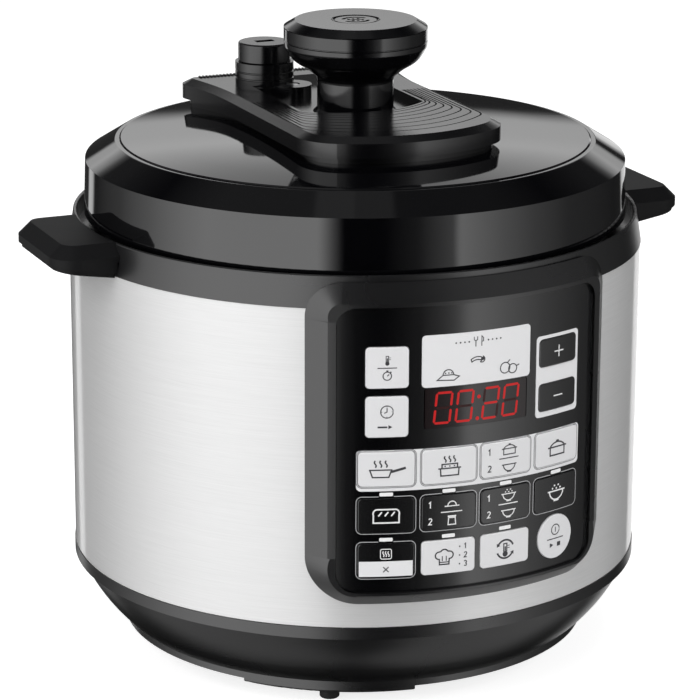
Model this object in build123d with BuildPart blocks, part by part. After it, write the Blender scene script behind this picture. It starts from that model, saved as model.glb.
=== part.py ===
"""Electric pressure cooker, built as an assembly of separate pieces.

Millimetres, +Z up. The origin is on the floor, under the middle of the cooker.
The control panel faces -Y and the handles point along X.
"""

from build123d import *
import math
import os

os.makedirs("parts", exist_ok=True)

# ---------------------------------------------------------------- driving dimensions
# Feet and base
foot_count = 3
foot_radius = 5.0
foot_edge = 1.0
pad_bottom = 6.0
pad_width = 14.0
pad_inset = 7.5
pad_span = 45.0
pad_edge = 1.2
foot_inset = 10.0
lip_inset = 25.5
lip_bottom = 11.6
lip_height = 3.4
base_wall = 2.6
bowl_top_inset = 2.4
bowl_bulge = 2.2
groove_height = 1.2
band_bottom = 47.4

# Steel sleeve and top collar
sleeve_radius = 145.0
sleeve_wall = 0.6
sleeve_bottom = 53.5
collar_height = 15.7
rim_crest_inset = 2.5
rim_thickness = 1.5
rim_round = 1.0
rim_drop = 0.9
trough_depth = 8.4
trough_wall = 2.5
trough_lip = 3.0
collar_well_gap = 1.3
collar_well_wall = 2.0
collar_well_depth = 5.0
tongue_height = 6.0
rim_step = 0.4
drain_radius = 2.5
drain_inset = 5.0
collar_mount_drop = 8.0
collar_mount_width = 8.0
collar_mount_height = 5.0

# Cooking vessel and pot
vessel_wall = 1.6
vessel_bottom = 32.2
vessel_rise = 6.8
pot_clearance = 2.0
pot_wall = 1.4
pot_corner_radius = 16.0
pot_flange_overhang = 0.4
pot_flange_thickness = 1.8
lug_count = 6
lug_span = 26.0
lug_reach = 6.6
lug_thickness = 4.0
lug_drop = 5.0
lug_gap = 0.9
lug_root = 0.5

# Heating
plate_radius = 84.0
plate_thickness = 7.4
plate_edge = 1.0
sensor_gap = 3.0
heater_ring_radius = 60.0
heater_tube_radius = 2.6
terminal_radius = 1.5
terminal_hole_radius = 4.0
sensor_radius = 13.0
sensor_height = 14.0
sensor_edge = 1.2
sensor_travel = 3.0
shield_gap = 2.2
shield_wall = 0.8
shield_drop = 34.0
spring_wire_radius = 0.7
spring_radius = 8.5
spring_turns = 5

# Lid
skirt_gap = 3.6
skirt_sink = 1.2
skirt_taper = 1.0
skirt_height = 27.1
crown_taper = 15.2
crown_edge = 1.1
crown_rise = 9.4
crown_rim = 2.1
deck_drop = 2.2
lid_wall = 2.3
deck_thickness = 2.6
disc_edge_rise = 0.6
dome_rise = 5.2
disc_edge_chamfer = 0.6
disc_wall = 2.2
cover_gap = 9.8
cover_wall = 2.0
cover_edge = 1.5
cover_lip = 1.5
lid_lug_clearance = 1.5
liner_thickness = 1.2
liner_room = 2.8
liner_hole_radius = 3.5
gasket_gap = 2.3
gasket_width = 17.0
gasket_grip = 9.0
gasket_height = 7.6
gasket_lip = 1.6
gasket_taper = 1.0
post_radius = 5.0
post_drop = 4.0
nut_radius = 10.0
nut_height = 3.5

# Bridge on the lid, with the knob and the valves
bridge_front_inset = 34.9
bridge_front_half_width = 53.5
bridge_rear_half_width = 62.0
bridge_rear_inset = 22.9
bridge_bevel_width = 5.0
bridge_bevel_drop = 2.6
bridge_flare_start = 38.0
bridge_front_corner = 24.0
bridge_rear_corner = 8.0
bridge_gap = 1.0
bridge_height = 10.0
bridge_recess = 4.0
bridge_foot_inset = 4.0
rail_width = 20.5
# Steps round the knob, from the one next to it to the one at the edge
step_count = 8
step_inner_radius = 49.5
step_outer_radius = 65.5
step_inner_centre = 25.0
step_outer_centre = -3.0
step_inner_half_width = 34.5
step_outer_half_width = 47.5
step_spread = 1.3
step_corner = 9.0
step_rear = 20.0
step_groove_width = 0.9
step_groove_depth = 1.0
step_margin = 1.5
stem_radius = 19.3
stem_foot = 2.0
stem_height = 16.0
knob_radius = 36.1
knob_flare_height = 20.0
knob_shoulder_rise = 7.0
knob_crown = 3.3
knob_seam = 0.5
knob_land = 12.0
knob_top_radius = 30.6
knob_dimple_radius = 12.4
knob_dimple_depth = 1.0
# Points of the flare between stem and rim, as shares of its width and of its height
knob_flare = ((0.155, 0.2), (0.363, 0.335), (0.661, 0.49), (0.815, 0.62), (0.964, 0.83))
valve_x = -22.0
valve_inset = 28.0
valve_radius = 13.6
valve_height = 9.5
valve_edge = 1.2
valve_slot_length = 10.0
valve_slot_width = 5.0
valve_slot_depth = 1.0
valve_stem_radius = 3.0
valve_stem_gap = 0.6
valve_guard_radius = 15.2
valve_guard_height = 15.0
guard_groove_radius = 0.5
guard_grooves = 3
guard_groove_pitch = 3.4
float_x = -15.0
float_spacing = 21.0
float_guard_radius = 10.0
float_guard_height = 6.0
float_radius = 3.5
float_foot = 2.0
float_sink = 0.4
pipe_radius = 3.5

# Handles
handle_length = 25.6
handle_half_width = 36.0
handle_corner_radius = 13.0
handle_rise = 0.5
handle_chamfer = 6.0
handle_root_gap = 0.8
handle_tip_rise = 5.5
handle_cover_thickness = 2.4
handle_cover_inset = 1.6
handle_root = 7.2
handle_root_wall = 12.0
handle_wall = 6.0
handle_tip_wall = 7.0
handle_rib_gap = 0.5
handle_rib_height = 1.5

# Control panel
bezel_height = 6.0
bezel_half_width = 83.0
bezel_base_gap = 12.0
bezel_overlap = 13.2
bezel_bottom_rim = 7.5
bezel_top_rim = 11.0
bezel_bottom_corner = 25.0
bezel_top_corner = 18.0
bezel_bottom_slope = 6.2
bezel_top_slope = 9.2
bezel_side_slope = 8.7
bezel_root = 3.0
bezel_seat = 0.1
panel_recess = 2.0
panel_thickness = 2.0
panel_half_width = 67.9
panel_shelf = 1.5
panel_shelf_end = 3.0
panel_height = 141.4
panel_corner_radius = 9.0
panel_margin = 0.1
inlay_depth = 0.6
inlay_proud = 0.1
key_clearance = 0.35
key_proud = 0.7
key_travel = 0.8
key_edge_radius = 0.4
key_width = 27.0
key_height = 17.1
key_corner_radius = 2.0
key_flange = 1.2
key_flange_thickness = 2.2
key_flange_gap = 0.6
key_middle_gap = 3.0
key_side_gap = 3.6
key_margin = 7.55
low_row_gap = 5.6
high_row_gap = 6.0
tall_key_width = 20.5
tall_key_height = 20.1
tall_key_rise = 6.55
tall_key_gap = 4.0
step_key_shift = 0.3
step_key_width = 23.6
step_key_height = 13.5
step_key_rise = 2.95
step_key_gap = 8.7
start_key_radius = 11.2
strip_left_margin = 0.7
strip_right_margin = 1.8
strip_drop = 11.0
strip_rise = 9.3
frame_margin = 1.9
frame_gap = 7.4
frame_height = 40.6
window_left = 27.4
window_right = 25.7
window_gap = 9.8
window_height = 19.5
menu_left = 29.0
menu_right = 27.6
menu_gap = 0.7
menu_height = 25.6
inlay_corner = 2.0
window_corner = 1.0
indicator_width = 6.5
indicator_height = 1.8
indicator_corner = 0.5
indicator_rise = 10.45
mat_thickness = 2.5
mat_half_width = 76.7
mat_rim = 3.0
mat_side_rim = 4.7
mat_side_gap = 0.8
mat_root = 1.0
mat_bottom_margin = 1.0
mat_top_margin = 10.4
board_thickness = 1.6
board_gap = 1.2
board_half_width = 52.0
board_bottom_margin = 8.0
board_top_margin = 5.0
display_half_width = 27.0
display_depth = 10.1
display_margin = 1.5
housing_room = 7.4
housing_wall = 2.0
housing_gap = 1.0
housing_post_radius = 3.0
housing_post_inset = 6.0
housing_post_drop = 10.0

# Rear: power inlet and condensate cup
inlet_centre = 33.0
inlet_proud = 1.0
inlet_flange = 3.0
inlet_edge = 1.0
inlet_width = 50.0
inlet_height = 23.0
socket_width = 24.4
socket_height = 16.6
socket_depth = 15.0
socket_wall = 1.6
pin_width = 2.0
pin_height = 4.0
pin_recess = 3.0
pin_root = 1.0
# Sideways and upward place of each pin in the socket
pin_places = ((-7.0, -2.0), (7.0, -2.0), (0.0, 2.0))
inlet_screw_spacing = 40.0
cup_width = 60.0
cup_height = 52.0
cup_wall = 1.6
cup_inset = 9.0
cup_drop = 6.2
cup_opening_gap = 1.0
collar_mount_angles = (-120.0, -60.0, 60.0, 120.0)

# Fastenings and what stands on the bottom plate
screw_radius = 1.5
screw_length = 10.0
screw_head_radius = 2.4
screw_head = 1.6
plate_floor = 2.4
carrier_inset = 6.0
carrier_post_radius = 5.0
board_width = 48.0
board_length = 92.0
board_inset = 57.5
board_y = 20.0
board_lift = 6.0
board_post_radius = 3.0
board_post_inset = 4.0
component_height = 9.0
component_step = 1.0
relay_size = 16.0
relay_pitch = 20.0
relay_x = 28.0
relay_y = 48.0
filter_size = 20.0
filter_x = 4.0
filter_y = 58.0
capacitor_radius = 5.5
capacitor_inset = 14.0
connector_x = 24.0
connector_y = 8.0
connector_length = 20.0
connector_width = 10.0
fin_x = 20.0
fin_y = 10.0
fin_length = 34.0
fin_thickness = 3.0
fuse_x = 40.0
fuse_y = 61.0
fuse_radius = 2.2
fuse_length = 16.0
fuse_lead_radius = 0.6
fuse_lead_length = 30.0
fuse_clip_width = 12.0
fuse_clip_length = 18.0
fuse_clip_thickness = 1.2
switch_x = 30.0
switch_y = -60.0
switch_radius = 9.0
switch_edge = 1.0
switch_blade_width = 4.0
switch_blade_thickness = 0.8
switch_blade_shift = 4.0
terminal_x = 52.0
terminal_y = 30.0
terminal_bottom = 22.0
well_radius = 22.0
well_floor = 20.8
vessel_hole_radius = 24.0
vessel_corner_radius = 14.0
lid_screw_count = 4
lid_screw_circle = 95.0
lid_screws_start = 45.0
boss_radius = 4.5
boss_depth = 12.0

# Fits between neighbouring pieces
seat_gap = 0.2
fit_gap = 0.3

# ---------------------------------------------------------------- values that follow
lip_top = lip_bottom + lip_height
bowl_top_radius = sleeve_radius - bowl_top_inset
lip_radius = sleeve_radius - lip_inset
board_x = board_inset - lip_radius
pad_outer_radius = lip_radius - pad_inset
pad_inner_radius = pad_outer_radius - pad_width
foot_circle_radius = pad_outer_radius - foot_inset
carrier_circle = pad_inner_radius - carrier_inset
bezel_bottom = sleeve_bottom + bezel_base_gap
panel_bottom = bezel_bottom + bezel_bottom_rim
panel_top = panel_bottom + panel_height
bezel_top = panel_top + bezel_top_rim
sleeve_top = bezel_top - bezel_overlap
collar_crest = sleeve_top + collar_height
trough_floor = collar_crest - trough_depth
sleeve_inner_radius = sleeve_radius - sleeve_wall
band_radius = sleeve_radius + rim_step
rim_crest_radius = sleeve_radius - rim_crest_inset
rim_inner_radius = rim_crest_radius - rim_thickness
skirt_radius = rim_inner_radius - skirt_gap
skirt_top_radius = skirt_radius - skirt_taper
crown_radius = skirt_top_radius - crown_taper
disc_radius = crown_radius - crown_rim - seat_gap
cover_radius = skirt_radius - lid_wall - cover_gap
cover_inner_radius = cover_radius - cover_wall
collar_well_radius = cover_radius + collar_well_gap
vessel_outer_radius = cover_inner_radius - lug_gap - lug_reach
vessel_inner_radius = vessel_outer_radius - vessel_wall
shield_radius = vessel_outer_radius + shield_gap + shield_wall
vessel_floor = vessel_bottom + vessel_wall
vessel_top = sleeve_top + vessel_rise
lug_bottom = vessel_top - lug_drop
shield_top = vessel_top - shield_drop
plate_bottom = vessel_floor + seat_gap
plate_top = plate_bottom + plate_thickness
pot_bottom = plate_top + fit_gap
pot_radius = vessel_inner_radius - pot_clearance
pot_flange_bottom = vessel_top + fit_gap
pot_top = pot_flange_bottom + pot_flange_thickness
pot_flange_radius = vessel_outer_radius + pot_flange_overhang
gasket_bottom = pot_top + fit_gap
gasket_top = gasket_bottom + gasket_height
gasket_outer_radius = cover_inner_radius - gasket_gap
gasket_inner_radius = gasket_outer_radius - gasket_width
liner_radius = gasket_outer_radius - gasket_grip
liner_top = gasket_top + liner_thickness
lid_lug_top = lug_bottom - lid_lug_clearance
cover_top = liner_top + liner_room + cover_wall
cover_skirt_bottom = lid_lug_top - lug_thickness - cover_lip
skirt_bottom = collar_crest - skirt_sink
skirt_top = skirt_bottom + skirt_height
crown_height = skirt_top + crown_rise
disc_crest = crown_height + disc_edge_rise + dome_rise
bridge_bottom = disc_crest + bridge_gap
bridge_top = bridge_bottom + bridge_height
deck_top = crown_height - deck_drop
deck_bottom = deck_top - deck_thickness
bridge_front_radius = disc_radius - bridge_front_inset
bridge_rear = disc_radius - bridge_rear_inset
recess_floor = bridge_top - bridge_recess
valve_y = bridge_rear - valve_inset
float_y = valve_y - float_spacing
valve_guard_top = recess_floor + valve_guard_height
valve_bottom = valve_guard_top + 2 * fit_gap
valve_top = valve_bottom + valve_height
float_guard_top = recess_floor + float_guard_height
flare_bottom = recess_floor + stem_height
knob_split = flare_bottom + knob_flare_height + fit_gap
knob_shoulder = knob_split + knob_shoulder_rise
knob_top = knob_shoulder + knob_crown
handle_reach = band_radius + handle_length
handle_top = collar_crest + handle_rise
handle_root_bottom = sleeve_top + handle_root_gap
handle_tip_bottom = handle_root_bottom + handle_tip_rise
bezel_ridge_radius = sleeve_radius + bezel_height
bezel_half_angle = math.degrees(bezel_half_width / sleeve_radius)
ridge_half_angle = math.degrees((bezel_half_width - bezel_side_slope) / bezel_ridge_radius)
ridge_bottom = bezel_bottom + bezel_bottom_slope
ridge_top = bezel_top - bezel_top_slope
panel_radius = bezel_ridge_radius - panel_recess
panel_back = panel_radius - panel_thickness
flange_front = panel_back - key_flange_gap
flange_back = flange_front - key_flange_thickness
mat_radius = flange_back - key_travel - fit_gap
mat_back = mat_radius - mat_thickness
mat_bottom = panel_bottom - mat_bottom_margin
mat_top = panel_top - mat_top_margin
board_bottom = mat_bottom + board_bottom_margin
board_top = mat_top - board_top_margin
board_face = math.sqrt(mat_back ** 2 - board_half_width ** 2) - board_gap
housing_depth = board_face - housing_room
inlet_face = sleeve_radius + inlet_proud
flange_seat = inlet_face - inlet_flange
cup_back = sleeve_radius - cup_inset
cup_top = sleeve_top - cup_drop
drain_y = sleeve_radius - drain_inset
screw_hole = screw_radius + fit_gap / 3
inner_column = (key_width + key_middle_gap) / 2
outer_column = inner_column + key_width + key_side_gap
key_columns = (-outer_column, -inner_column, inner_column, outer_column)
low_row = panel_bottom + key_margin + key_height / 2
middle_row = low_row + key_height + low_row_gap
high_row = middle_row + key_height + high_row_gap
key_rows = (high_row, middle_row, low_row)
strip_top = high_row + strip_rise
delay_key_z = strip_top + tall_key_rise + tall_key_height / 2
temperature_key_z = delay_key_z + tall_key_height + tall_key_gap
step_column = outer_column - step_key_shift
frame_bottom = strip_top + frame_gap
minus_key_z = frame_bottom + step_key_rise + step_key_height / 2
plus_key_z = minus_key_z + step_key_height + step_key_gap
window_bottom = strip_top + window_gap
window_top = window_bottom + window_height
menu_bottom = window_top + menu_gap
# Left, right, bottom and top of each inlay; left and right are measured along the panel's face
key_strip = (
    -outer_column - key_width / 2 - strip_left_margin,
    outer_column + key_width / 2 + strip_right_margin, high_row - strip_drop, strip_top,
)
frame_half_width = step_key_width / 2 + frame_margin
step_frame = (
    step_column - frame_half_width, step_column + frame_half_width,
    frame_bottom, frame_bottom + frame_height,
)
menu_plate = (-menu_left, menu_right, menu_bottom, menu_bottom + menu_height)
window = (-window_left, window_right, window_bottom, window_top)
front = -90.0
pad_angles = [front - 30.0 + 120.0 * i for i in range(foot_count)]


def plane_at(angle):
    """Upright plane through the body axis; its x direction points out at this angle from +X."""
    a = math.radians(angle)
    return Plane(
        origin=(0, 0, 0),
        x_dir=(math.cos(a), math.sin(a), 0),
        z_dir=(math.sin(a), -math.cos(a), 0),
    )


def face_plane(angle, height, radius):
    """Plane that faces outwards from the body, at an angle to the right of the front."""
    a = math.radians(angle)
    return Plane(
        origin=(radius * math.sin(a), -radius * math.cos(a), height),
        x_dir=(math.cos(a), math.sin(a), 0),
        z_dir=(math.sin(a), -math.cos(a), 0),
    )


def turn(*points, start=0.0, span=360.0, mode=Mode.ADD):
    """Revolve a closed outline of (radius, height) points about the body axis."""
    with BuildSketch(plane_at(start)) as outline:
        with BuildLine():
            Polyline(*points, close=True)
        make_face()
    revolve(outline.sketch, axis=Axis.Z, revolution_arc=span, mode=mode)


def drum(radius, bottom, top, x=0.0, y=0.0, mode=Mode.ADD):
    """Upright cylinder between two heights."""
    with Locations((x, y, bottom)):
        Cylinder(radius, top - bottom, align=(Align.CENTER, Align.CENTER, Align.MIN), mode=mode)


def block(x0, x1, y0, y1, z0, z1, mode=Mode.ADD):
    """Box between two corners."""
    with Locations(((x0 + x1) / 2, (y0 + y1) / 2, (z0 + z1) / 2)):
        Box(x1 - x0, y1 - y0, z1 - z0, mode=mode)


def radial_block(angle, height, width, tall, corner, inner, outer, mode=Mode.ADD):
    """Rounded bar that stands straight out from the body, between two radii."""
    with BuildSketch(face_plane(angle, height, inner)) as outline:
        RectangleRounded(width, tall, corner)
    extrude(outline.sketch, amount=outer - inner, mode=mode)


def panel_angle(place):
    """Angle of a place that is measured along the panel's face, from its middle."""
    return math.degrees(place / panel_radius)


def tile(left, right, z0, z1, corner, inner, outer):
    """Curved tile with rounded corners, between two places along the panel, two heights and two radii."""
    centre = panel_angle((left + right) / 2)
    half = panel_angle((right - left) / 2)
    with BuildPart() as piece:
        turn(
            (inner, z0), (outer, z0), (outer, z1), (inner, z1),
            start=front + centre - 1.5 * half, span=3 * half,
        )
        with BuildSketch(face_plane(centre, (z0 + z1) / 2, 0)) as outline:
            RectangleRounded(2 * outer * math.sin(math.radians(half)), z1 - z0, corner)
        extrude(outline.sketch, amount=2 * outer, mode=Mode.INTERSECT)
    return piece.part


def pan(hole, radius, wall, bottom, top, corner):
    """Thin round pan with a rounded lower corner and, if wanted, a hole in its floor."""
    bend = math.sqrt(0.5)
    centre = (radius - corner, bottom + corner)
    inner = corner - wall
    with BuildSketch(Plane.XZ) as outline:
        with BuildLine():
            Polyline((hole, bottom + wall), (hole, bottom), (centre[0], bottom))
            ThreePointArc(
                (centre[0], bottom),
                (centre[0] + corner * bend, centre[1] - corner * bend),
                (radius, centre[1]),
            )
            Polyline((radius, centre[1]), (radius, top), (radius - wall, top), (radius - wall, centre[1]))
            ThreePointArc(
                (radius - wall, centre[1]),
                (centre[0] + inner * bend, centre[1] - inner * bend),
                (centre[0], bottom + wall),
            )
            Line((centre[0], bottom + wall), (hole, bottom + wall))
        make_face()
    revolve(outline.sketch, axis=Axis.Z)


def finish(piece, name):
    """Label a piece and write it."""
    piece.part.label = name
    export_step(piece.part, "parts/" + name + ".step")


# ---------------------------------------------------------------- base
bowl_start = (lip_radius, lip_top)
bowl_end = (bowl_top_radius, band_bottom - groove_height)
bowl_slope = math.atan2(bowl_end[1] - bowl_start[1], bowl_end[0] - bowl_start[0])
bulge = (bowl_bulge * math.sin(bowl_slope), -bowl_bulge * math.cos(bowl_slope))
bowl_middle = (
    (bowl_start[0] + bowl_end[0]) / 2 + bulge[0],
    (bowl_start[1] + bowl_end[1]) / 2 + bulge[1],
)
inner_start = (lip_radius - base_wall, lip_top + base_wall)
inner_end = (bowl_top_radius - base_wall, band_bottom)
inner_middle = (
    (inner_start[0] + inner_end[0]) / 2 + bulge[0],
    (inner_start[1] + inner_end[1]) / 2 + bulge[1],
)
tongue_outer = sleeve_inner_radius - seat_gap
tongue_inner = tongue_outer - base_wall
flange_inner = lip_radius - 3 * base_wall
flange_top = lip_top + base_wall
base_screw_circle = (flange_inner + lip_radius - base_wall) / 2
base_screw_angles = [front + 30.0 + 120.0 * i for i in range(foot_count)]
housing_back = inlet_face - socket_depth - base_wall
housing_face = inlet_face - inlet_proud

with BuildPart() as base_shell:
    with BuildSketch(Plane.XZ):
        with BuildLine():
            Line((lip_radius, lip_bottom), bowl_start)
            ThreePointArc(bowl_start, bowl_middle, bowl_end)
            Polyline(
                bowl_end,
                (bowl_top_radius, band_bottom),
                (band_radius, band_bottom),
                (band_radius, sleeve_bottom - seat_gap),
                (tongue_outer, sleeve_bottom - seat_gap),
                (tongue_outer, sleeve_bottom + tongue_height),
                (tongue_inner, sleeve_bottom + tongue_height),
                (tongue_inner, band_bottom + base_wall),
                inner_end,
            )
            ThreePointArc(inner_end, inner_middle, inner_start)
            Polyline(
                inner_start,
                (flange_inner, flange_top),
                (flange_inner, lip_top),
                (lip_radius - base_wall, lip_top),
                (lip_radius - base_wall, lip_bottom),
                (lip_radius, lip_bottom),
            )
        make_face()
    revolve(axis=Axis.Z)
    # Housing for the power inlet, at the back
    block(
        -inlet_width / 2 - base_wall, inlet_width / 2 + base_wall, housing_back, housing_face,
        inlet_centre - inlet_height / 2 - base_wall, inlet_centre + inlet_height / 2 + base_wall,
    )
    block(
        -inlet_width / 2 - seat_gap, inlet_width / 2 + seat_gap, flange_seat, band_radius + inlet_proud,
        inlet_centre - inlet_height / 2 - seat_gap, inlet_centre + inlet_height / 2 + seat_gap,
        mode=Mode.SUBTRACT,
    )
    block(
        -socket_width / 2 - base_wall, socket_width / 2 + base_wall, housing_back - base_wall, inlet_face,
        inlet_centre - socket_height / 2 - base_wall, inlet_centre + socket_height / 2 + base_wall,
        mode=Mode.SUBTRACT,
    )
    for side in (-1, 1):
        screw_place = Plane((side * inlet_screw_spacing / 2, flange_seat, inlet_centre), z_dir=(0, 1, 0))
        with Locations(screw_place):
            Hole(screw_hole, depth=screw_length)
    with PolarLocations(base_screw_circle, foot_count, start_angle=base_screw_angles[0]):
        Hole(screw_hole, depth=2 * flange_top)
finish(base_shell, "base_shell")

post_top = vessel_bottom - shield_wall
board_seat = lip_bottom + plate_floor + board_lift
with BuildPart() as bottom_plate:
    drum(lip_radius - base_wall - seat_gap, lip_top - plate_floor, lip_top)
    with PolarLocations(base_screw_circle, foot_count, start_angle=base_screw_angles[0]):
        Hole(screw_radius + fit_gap)
    # Three posts carry the heat shield and the vessel, four short ones the power board
    for i in range(foot_count):
        a = math.radians(front + 60.0 + 120.0 * i)
        x = carrier_circle * math.cos(a)
        y = carrier_circle * math.sin(a)
        drum(carrier_post_radius, lip_top, post_top, x, y)
    for x in (-1, 1):
        for y in (-1, 1):
            drum(
                board_post_radius, lip_top, board_seat,
                board_x + x * (board_width / 2 - board_post_inset),
                board_y + y * (board_length / 2 - board_post_inset),
            )
    with PolarLocations(foot_circle_radius, foot_count, start_angle=pad_angles[0]):
        Hole(foot_radius / 2 + fit_gap)
finish(bottom_plate, "bottom_plate")

with BuildPart() as foot_pads:
    for a in pad_angles:
        turn(
            (pad_inner_radius, pad_bottom), (pad_outer_radius, pad_bottom),
            (pad_outer_radius, lip_top - plate_floor), (pad_inner_radius, lip_top - plate_floor),
            start=a - pad_span / 2, span=pad_span,
        )
    fillet(foot_pads.faces().sort_by(Axis.Z)[:foot_count].edges(), pad_edge)
    with PolarLocations(foot_circle_radius, foot_count, start_angle=pad_angles[0]):
        Hole(foot_radius / 2 + fit_gap)
finish(foot_pads, "foot_pads")

with BuildPart() as rubber_feet:
    for a in pad_angles:
        x = foot_circle_radius * math.cos(math.radians(a))
        y = foot_circle_radius * math.sin(math.radians(a))
        drum(foot_radius, 0, pad_bottom, x, y)
        drum(foot_radius / 2, pad_bottom, lip_top, x, y)
    fillet(rubber_feet.faces().sort_by(Axis.Z)[:foot_count].edges(), foot_edge)
finish(rubber_feet, "rubber_feet")

with BuildPart() as body_screws:
    for a in base_screw_angles:
        x = base_screw_circle * math.cos(math.radians(a))
        y = base_screw_circle * math.sin(math.radians(a))
        drum(screw_head_radius, lip_top - plate_floor - screw_head, lip_top - plate_floor, x, y)
        drum(screw_radius, lip_top - plate_floor, flange_top, x, y)
    for side in (-1, 1):
        with Locations(Plane((side * inlet_screw_spacing / 2, inlet_face, inlet_centre), z_dir=(0, 1, 0))):
            Cylinder(screw_head_radius, screw_head, align=(Align.CENTER, Align.CENTER, Align.MIN))
            Cylinder(screw_radius, screw_length, align=(Align.CENTER, Align.CENTER, Align.MAX))
finish(body_screws, "body_screws")

# ---------------------------------------------------------------- sleeve and collar
opening_half_width = panel_half_width * panel_back / panel_radius - panel_shelf
opening_height = panel_top - panel_bottom - 2 * panel_shelf_end
cup_opening = cup_wall + cup_opening_gap
with BuildPart() as steel_sleeve:
    turn(
        (sleeve_inner_radius, sleeve_bottom), (sleeve_radius, sleeve_bottom),
        (sleeve_radius, sleeve_top), (sleeve_inner_radius, sleeve_top),
    )
    # Opening behind the control panel
    with BuildSketch(Plane.XZ.offset(vessel_outer_radius)):
        with Locations((0, (panel_bottom + panel_top) / 2)):
            RectangleRounded(2 * opening_half_width, opening_height, panel_corner_radius)
    extrude(amount=sleeve_radius, mode=Mode.SUBTRACT)
    # Opening for the condensate cup
    block(
        -cup_width / 2 - cup_opening, cup_width / 2 + cup_opening, vessel_outer_radius, band_radius,
        cup_top - cup_height - cup_opening, sleeve_top, mode=Mode.SUBTRACT,
    )
finish(steel_sleeve, "steel_sleeve")

with BuildPart() as top_collar:
    shoulder = (rim_crest_radius + rim_round / 2, collar_crest - rim_round)
    crest = (rim_crest_radius, collar_crest)
    inner_edge = (rim_inner_radius, collar_crest - rim_drop)
    shoulder_bulge = (rim_crest_radius + rim_round / 3, collar_crest - rim_round / 3)
    crest_bulge = (rim_inner_radius + rim_thickness * 0.28, collar_crest - rim_drop / 5)
    trough_under = trough_floor - trough_wall
    well_bottom = cover_skirt_bottom - collar_well_depth
    with BuildSketch(Plane.XZ):
        with BuildLine():
            Line((band_radius, sleeve_top + seat_gap), shoulder)
            ThreePointArc(shoulder, shoulder_bulge, crest)
            ThreePointArc(crest, crest_bulge, inner_edge)
            Polyline(
                inner_edge,
                (rim_inner_radius - rim_step, trough_floor),
                (collar_well_radius + collar_well_wall, trough_floor),
                (collar_well_radius + collar_well_wall, trough_floor + trough_lip),
                (collar_well_radius, trough_floor + trough_lip),
                (collar_well_radius, well_bottom),
                (collar_well_radius + collar_well_wall, well_bottom),
                (collar_well_radius + collar_well_wall, trough_under),
                (tongue_inner, trough_under),
                (tongue_inner, sleeve_top - tongue_height),
                (tongue_outer, sleeve_top - tongue_height),
                (tongue_outer, sleeve_top + seat_gap),
                (band_radius, sleeve_top + seat_gap),
            )
        make_face()
    revolve(axis=Axis.Z)
    # Pocket at the back that holds the condensate cup, with a drain from the trough above it
    block(
        -cup_width / 2 - cup_wall - seat_gap, cup_width / 2 + cup_wall + seat_gap,
        cup_back - cup_wall - seat_gap, tongue_outer - cup_wall,
        cup_top - cup_height - cup_wall - seat_gap, sleeve_top,
    )
    block(
        -cup_width / 2 - fit_gap, cup_width / 2 + fit_gap, cup_back - fit_gap, bezel_ridge_radius,
        cup_top - cup_height - fit_gap, cup_top + fit_gap, mode=Mode.SUBTRACT,
    )
    drum(drain_radius, cup_top - cup_wall, trough_floor + drain_radius, 0, drain_y, mode=Mode.SUBTRACT)
    for a in collar_mount_angles:
        radial_block(
            a, sleeve_top - collar_mount_drop, collar_mount_width, collar_mount_height,
            collar_mount_height / 5,
            collar_well_radius + collar_well_wall / 2, tongue_inner + base_wall / 2,
        )
finish(top_collar, "top_collar")

handle_start = rim_crest_radius - handle_root
cavity_start = handle_start + handle_root_wall
cavity_end = handle_reach - handle_tip_wall
cavity_half_width = handle_half_width - handle_wall
cover_start = (handle_root_bottom - handle_cover_thickness, handle_root_bottom)
cover_end = (handle_tip_bottom - handle_cover_thickness, handle_tip_bottom)
with BuildPart() as handle_right:
    block(handle_start, handle_reach, -handle_half_width, handle_half_width, handle_root_bottom, handle_top)
    outer_corners = handle_right.edges().filter_by(Axis.Z).sort_by(Axis.X)[-2:]
    fillet(outer_corners, handle_corner_radius)
    top_edges = handle_right.faces().sort_by(Axis.Z)[-1].edges().sort_by(Axis.X)[1:]
    chamfer(top_edges, handle_chamfer)
    block(
        cavity_start, cavity_end, -cavity_half_width, cavity_half_width,
        handle_root_bottom, handle_top - handle_chamfer, mode=Mode.SUBTRACT,
    )
    with BuildSketch(Plane.XZ) as slope:
        with BuildLine():
            Polyline(
                (handle_start, handle_root_bottom), (handle_reach, handle_tip_bottom),
                (handle_reach, handle_root_bottom), close=True,
            )
        make_face()
    extrude(slope.sketch, amount=handle_half_width, both=True, mode=Mode.SUBTRACT)
    drum(rim_crest_radius, handle_root_bottom, handle_top, mode=Mode.SUBTRACT)
    drum(band_radius - rim_step, handle_root_bottom, trough_floor, mode=Mode.SUBTRACT)
    add(top_collar.part, mode=Mode.SUBTRACT)
finish(handle_right, "handle_right")

with BuildPart() as handle_left:
    add(mirror(handle_right.part, about=Plane.YZ))
finish(handle_left, "handle_left")

cover_tip = handle_reach - handle_cover_inset
with BuildPart() as handle_covers:
    with BuildSketch(Plane.XZ) as outline:
        with BuildLine():
            Polyline(
                (handle_start, cover_start[0]), (cover_tip, cover_end[0]),
                (cover_tip, cover_end[1]), (handle_start, cover_start[1]), close=True,
            )
        make_face()
    extrude(outline.sketch, amount=handle_half_width - handle_cover_inset, both=True)
    cover_corners = handle_covers.edges().filter_by(Axis.Z).sort_by(Axis.X)[-2:]
    fillet(cover_corners, handle_corner_radius - handle_cover_inset)
    add(handle_right.part, mode=Mode.SUBTRACT)
    block(
        cavity_start + handle_rib_gap, cavity_end - handle_rib_gap,
        handle_rib_gap - cavity_half_width, cavity_half_width - handle_rib_gap,
        cover_end[0] - handle_rib_height, handle_top - handle_chamfer - 2 * handle_rib_gap,
    )
    drum(band_radius + seat_gap, cover_start[0], handle_top, mode=Mode.SUBTRACT)
    mirror(about=Plane.YZ)
finish(handle_covers, "handle_covers")

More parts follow.
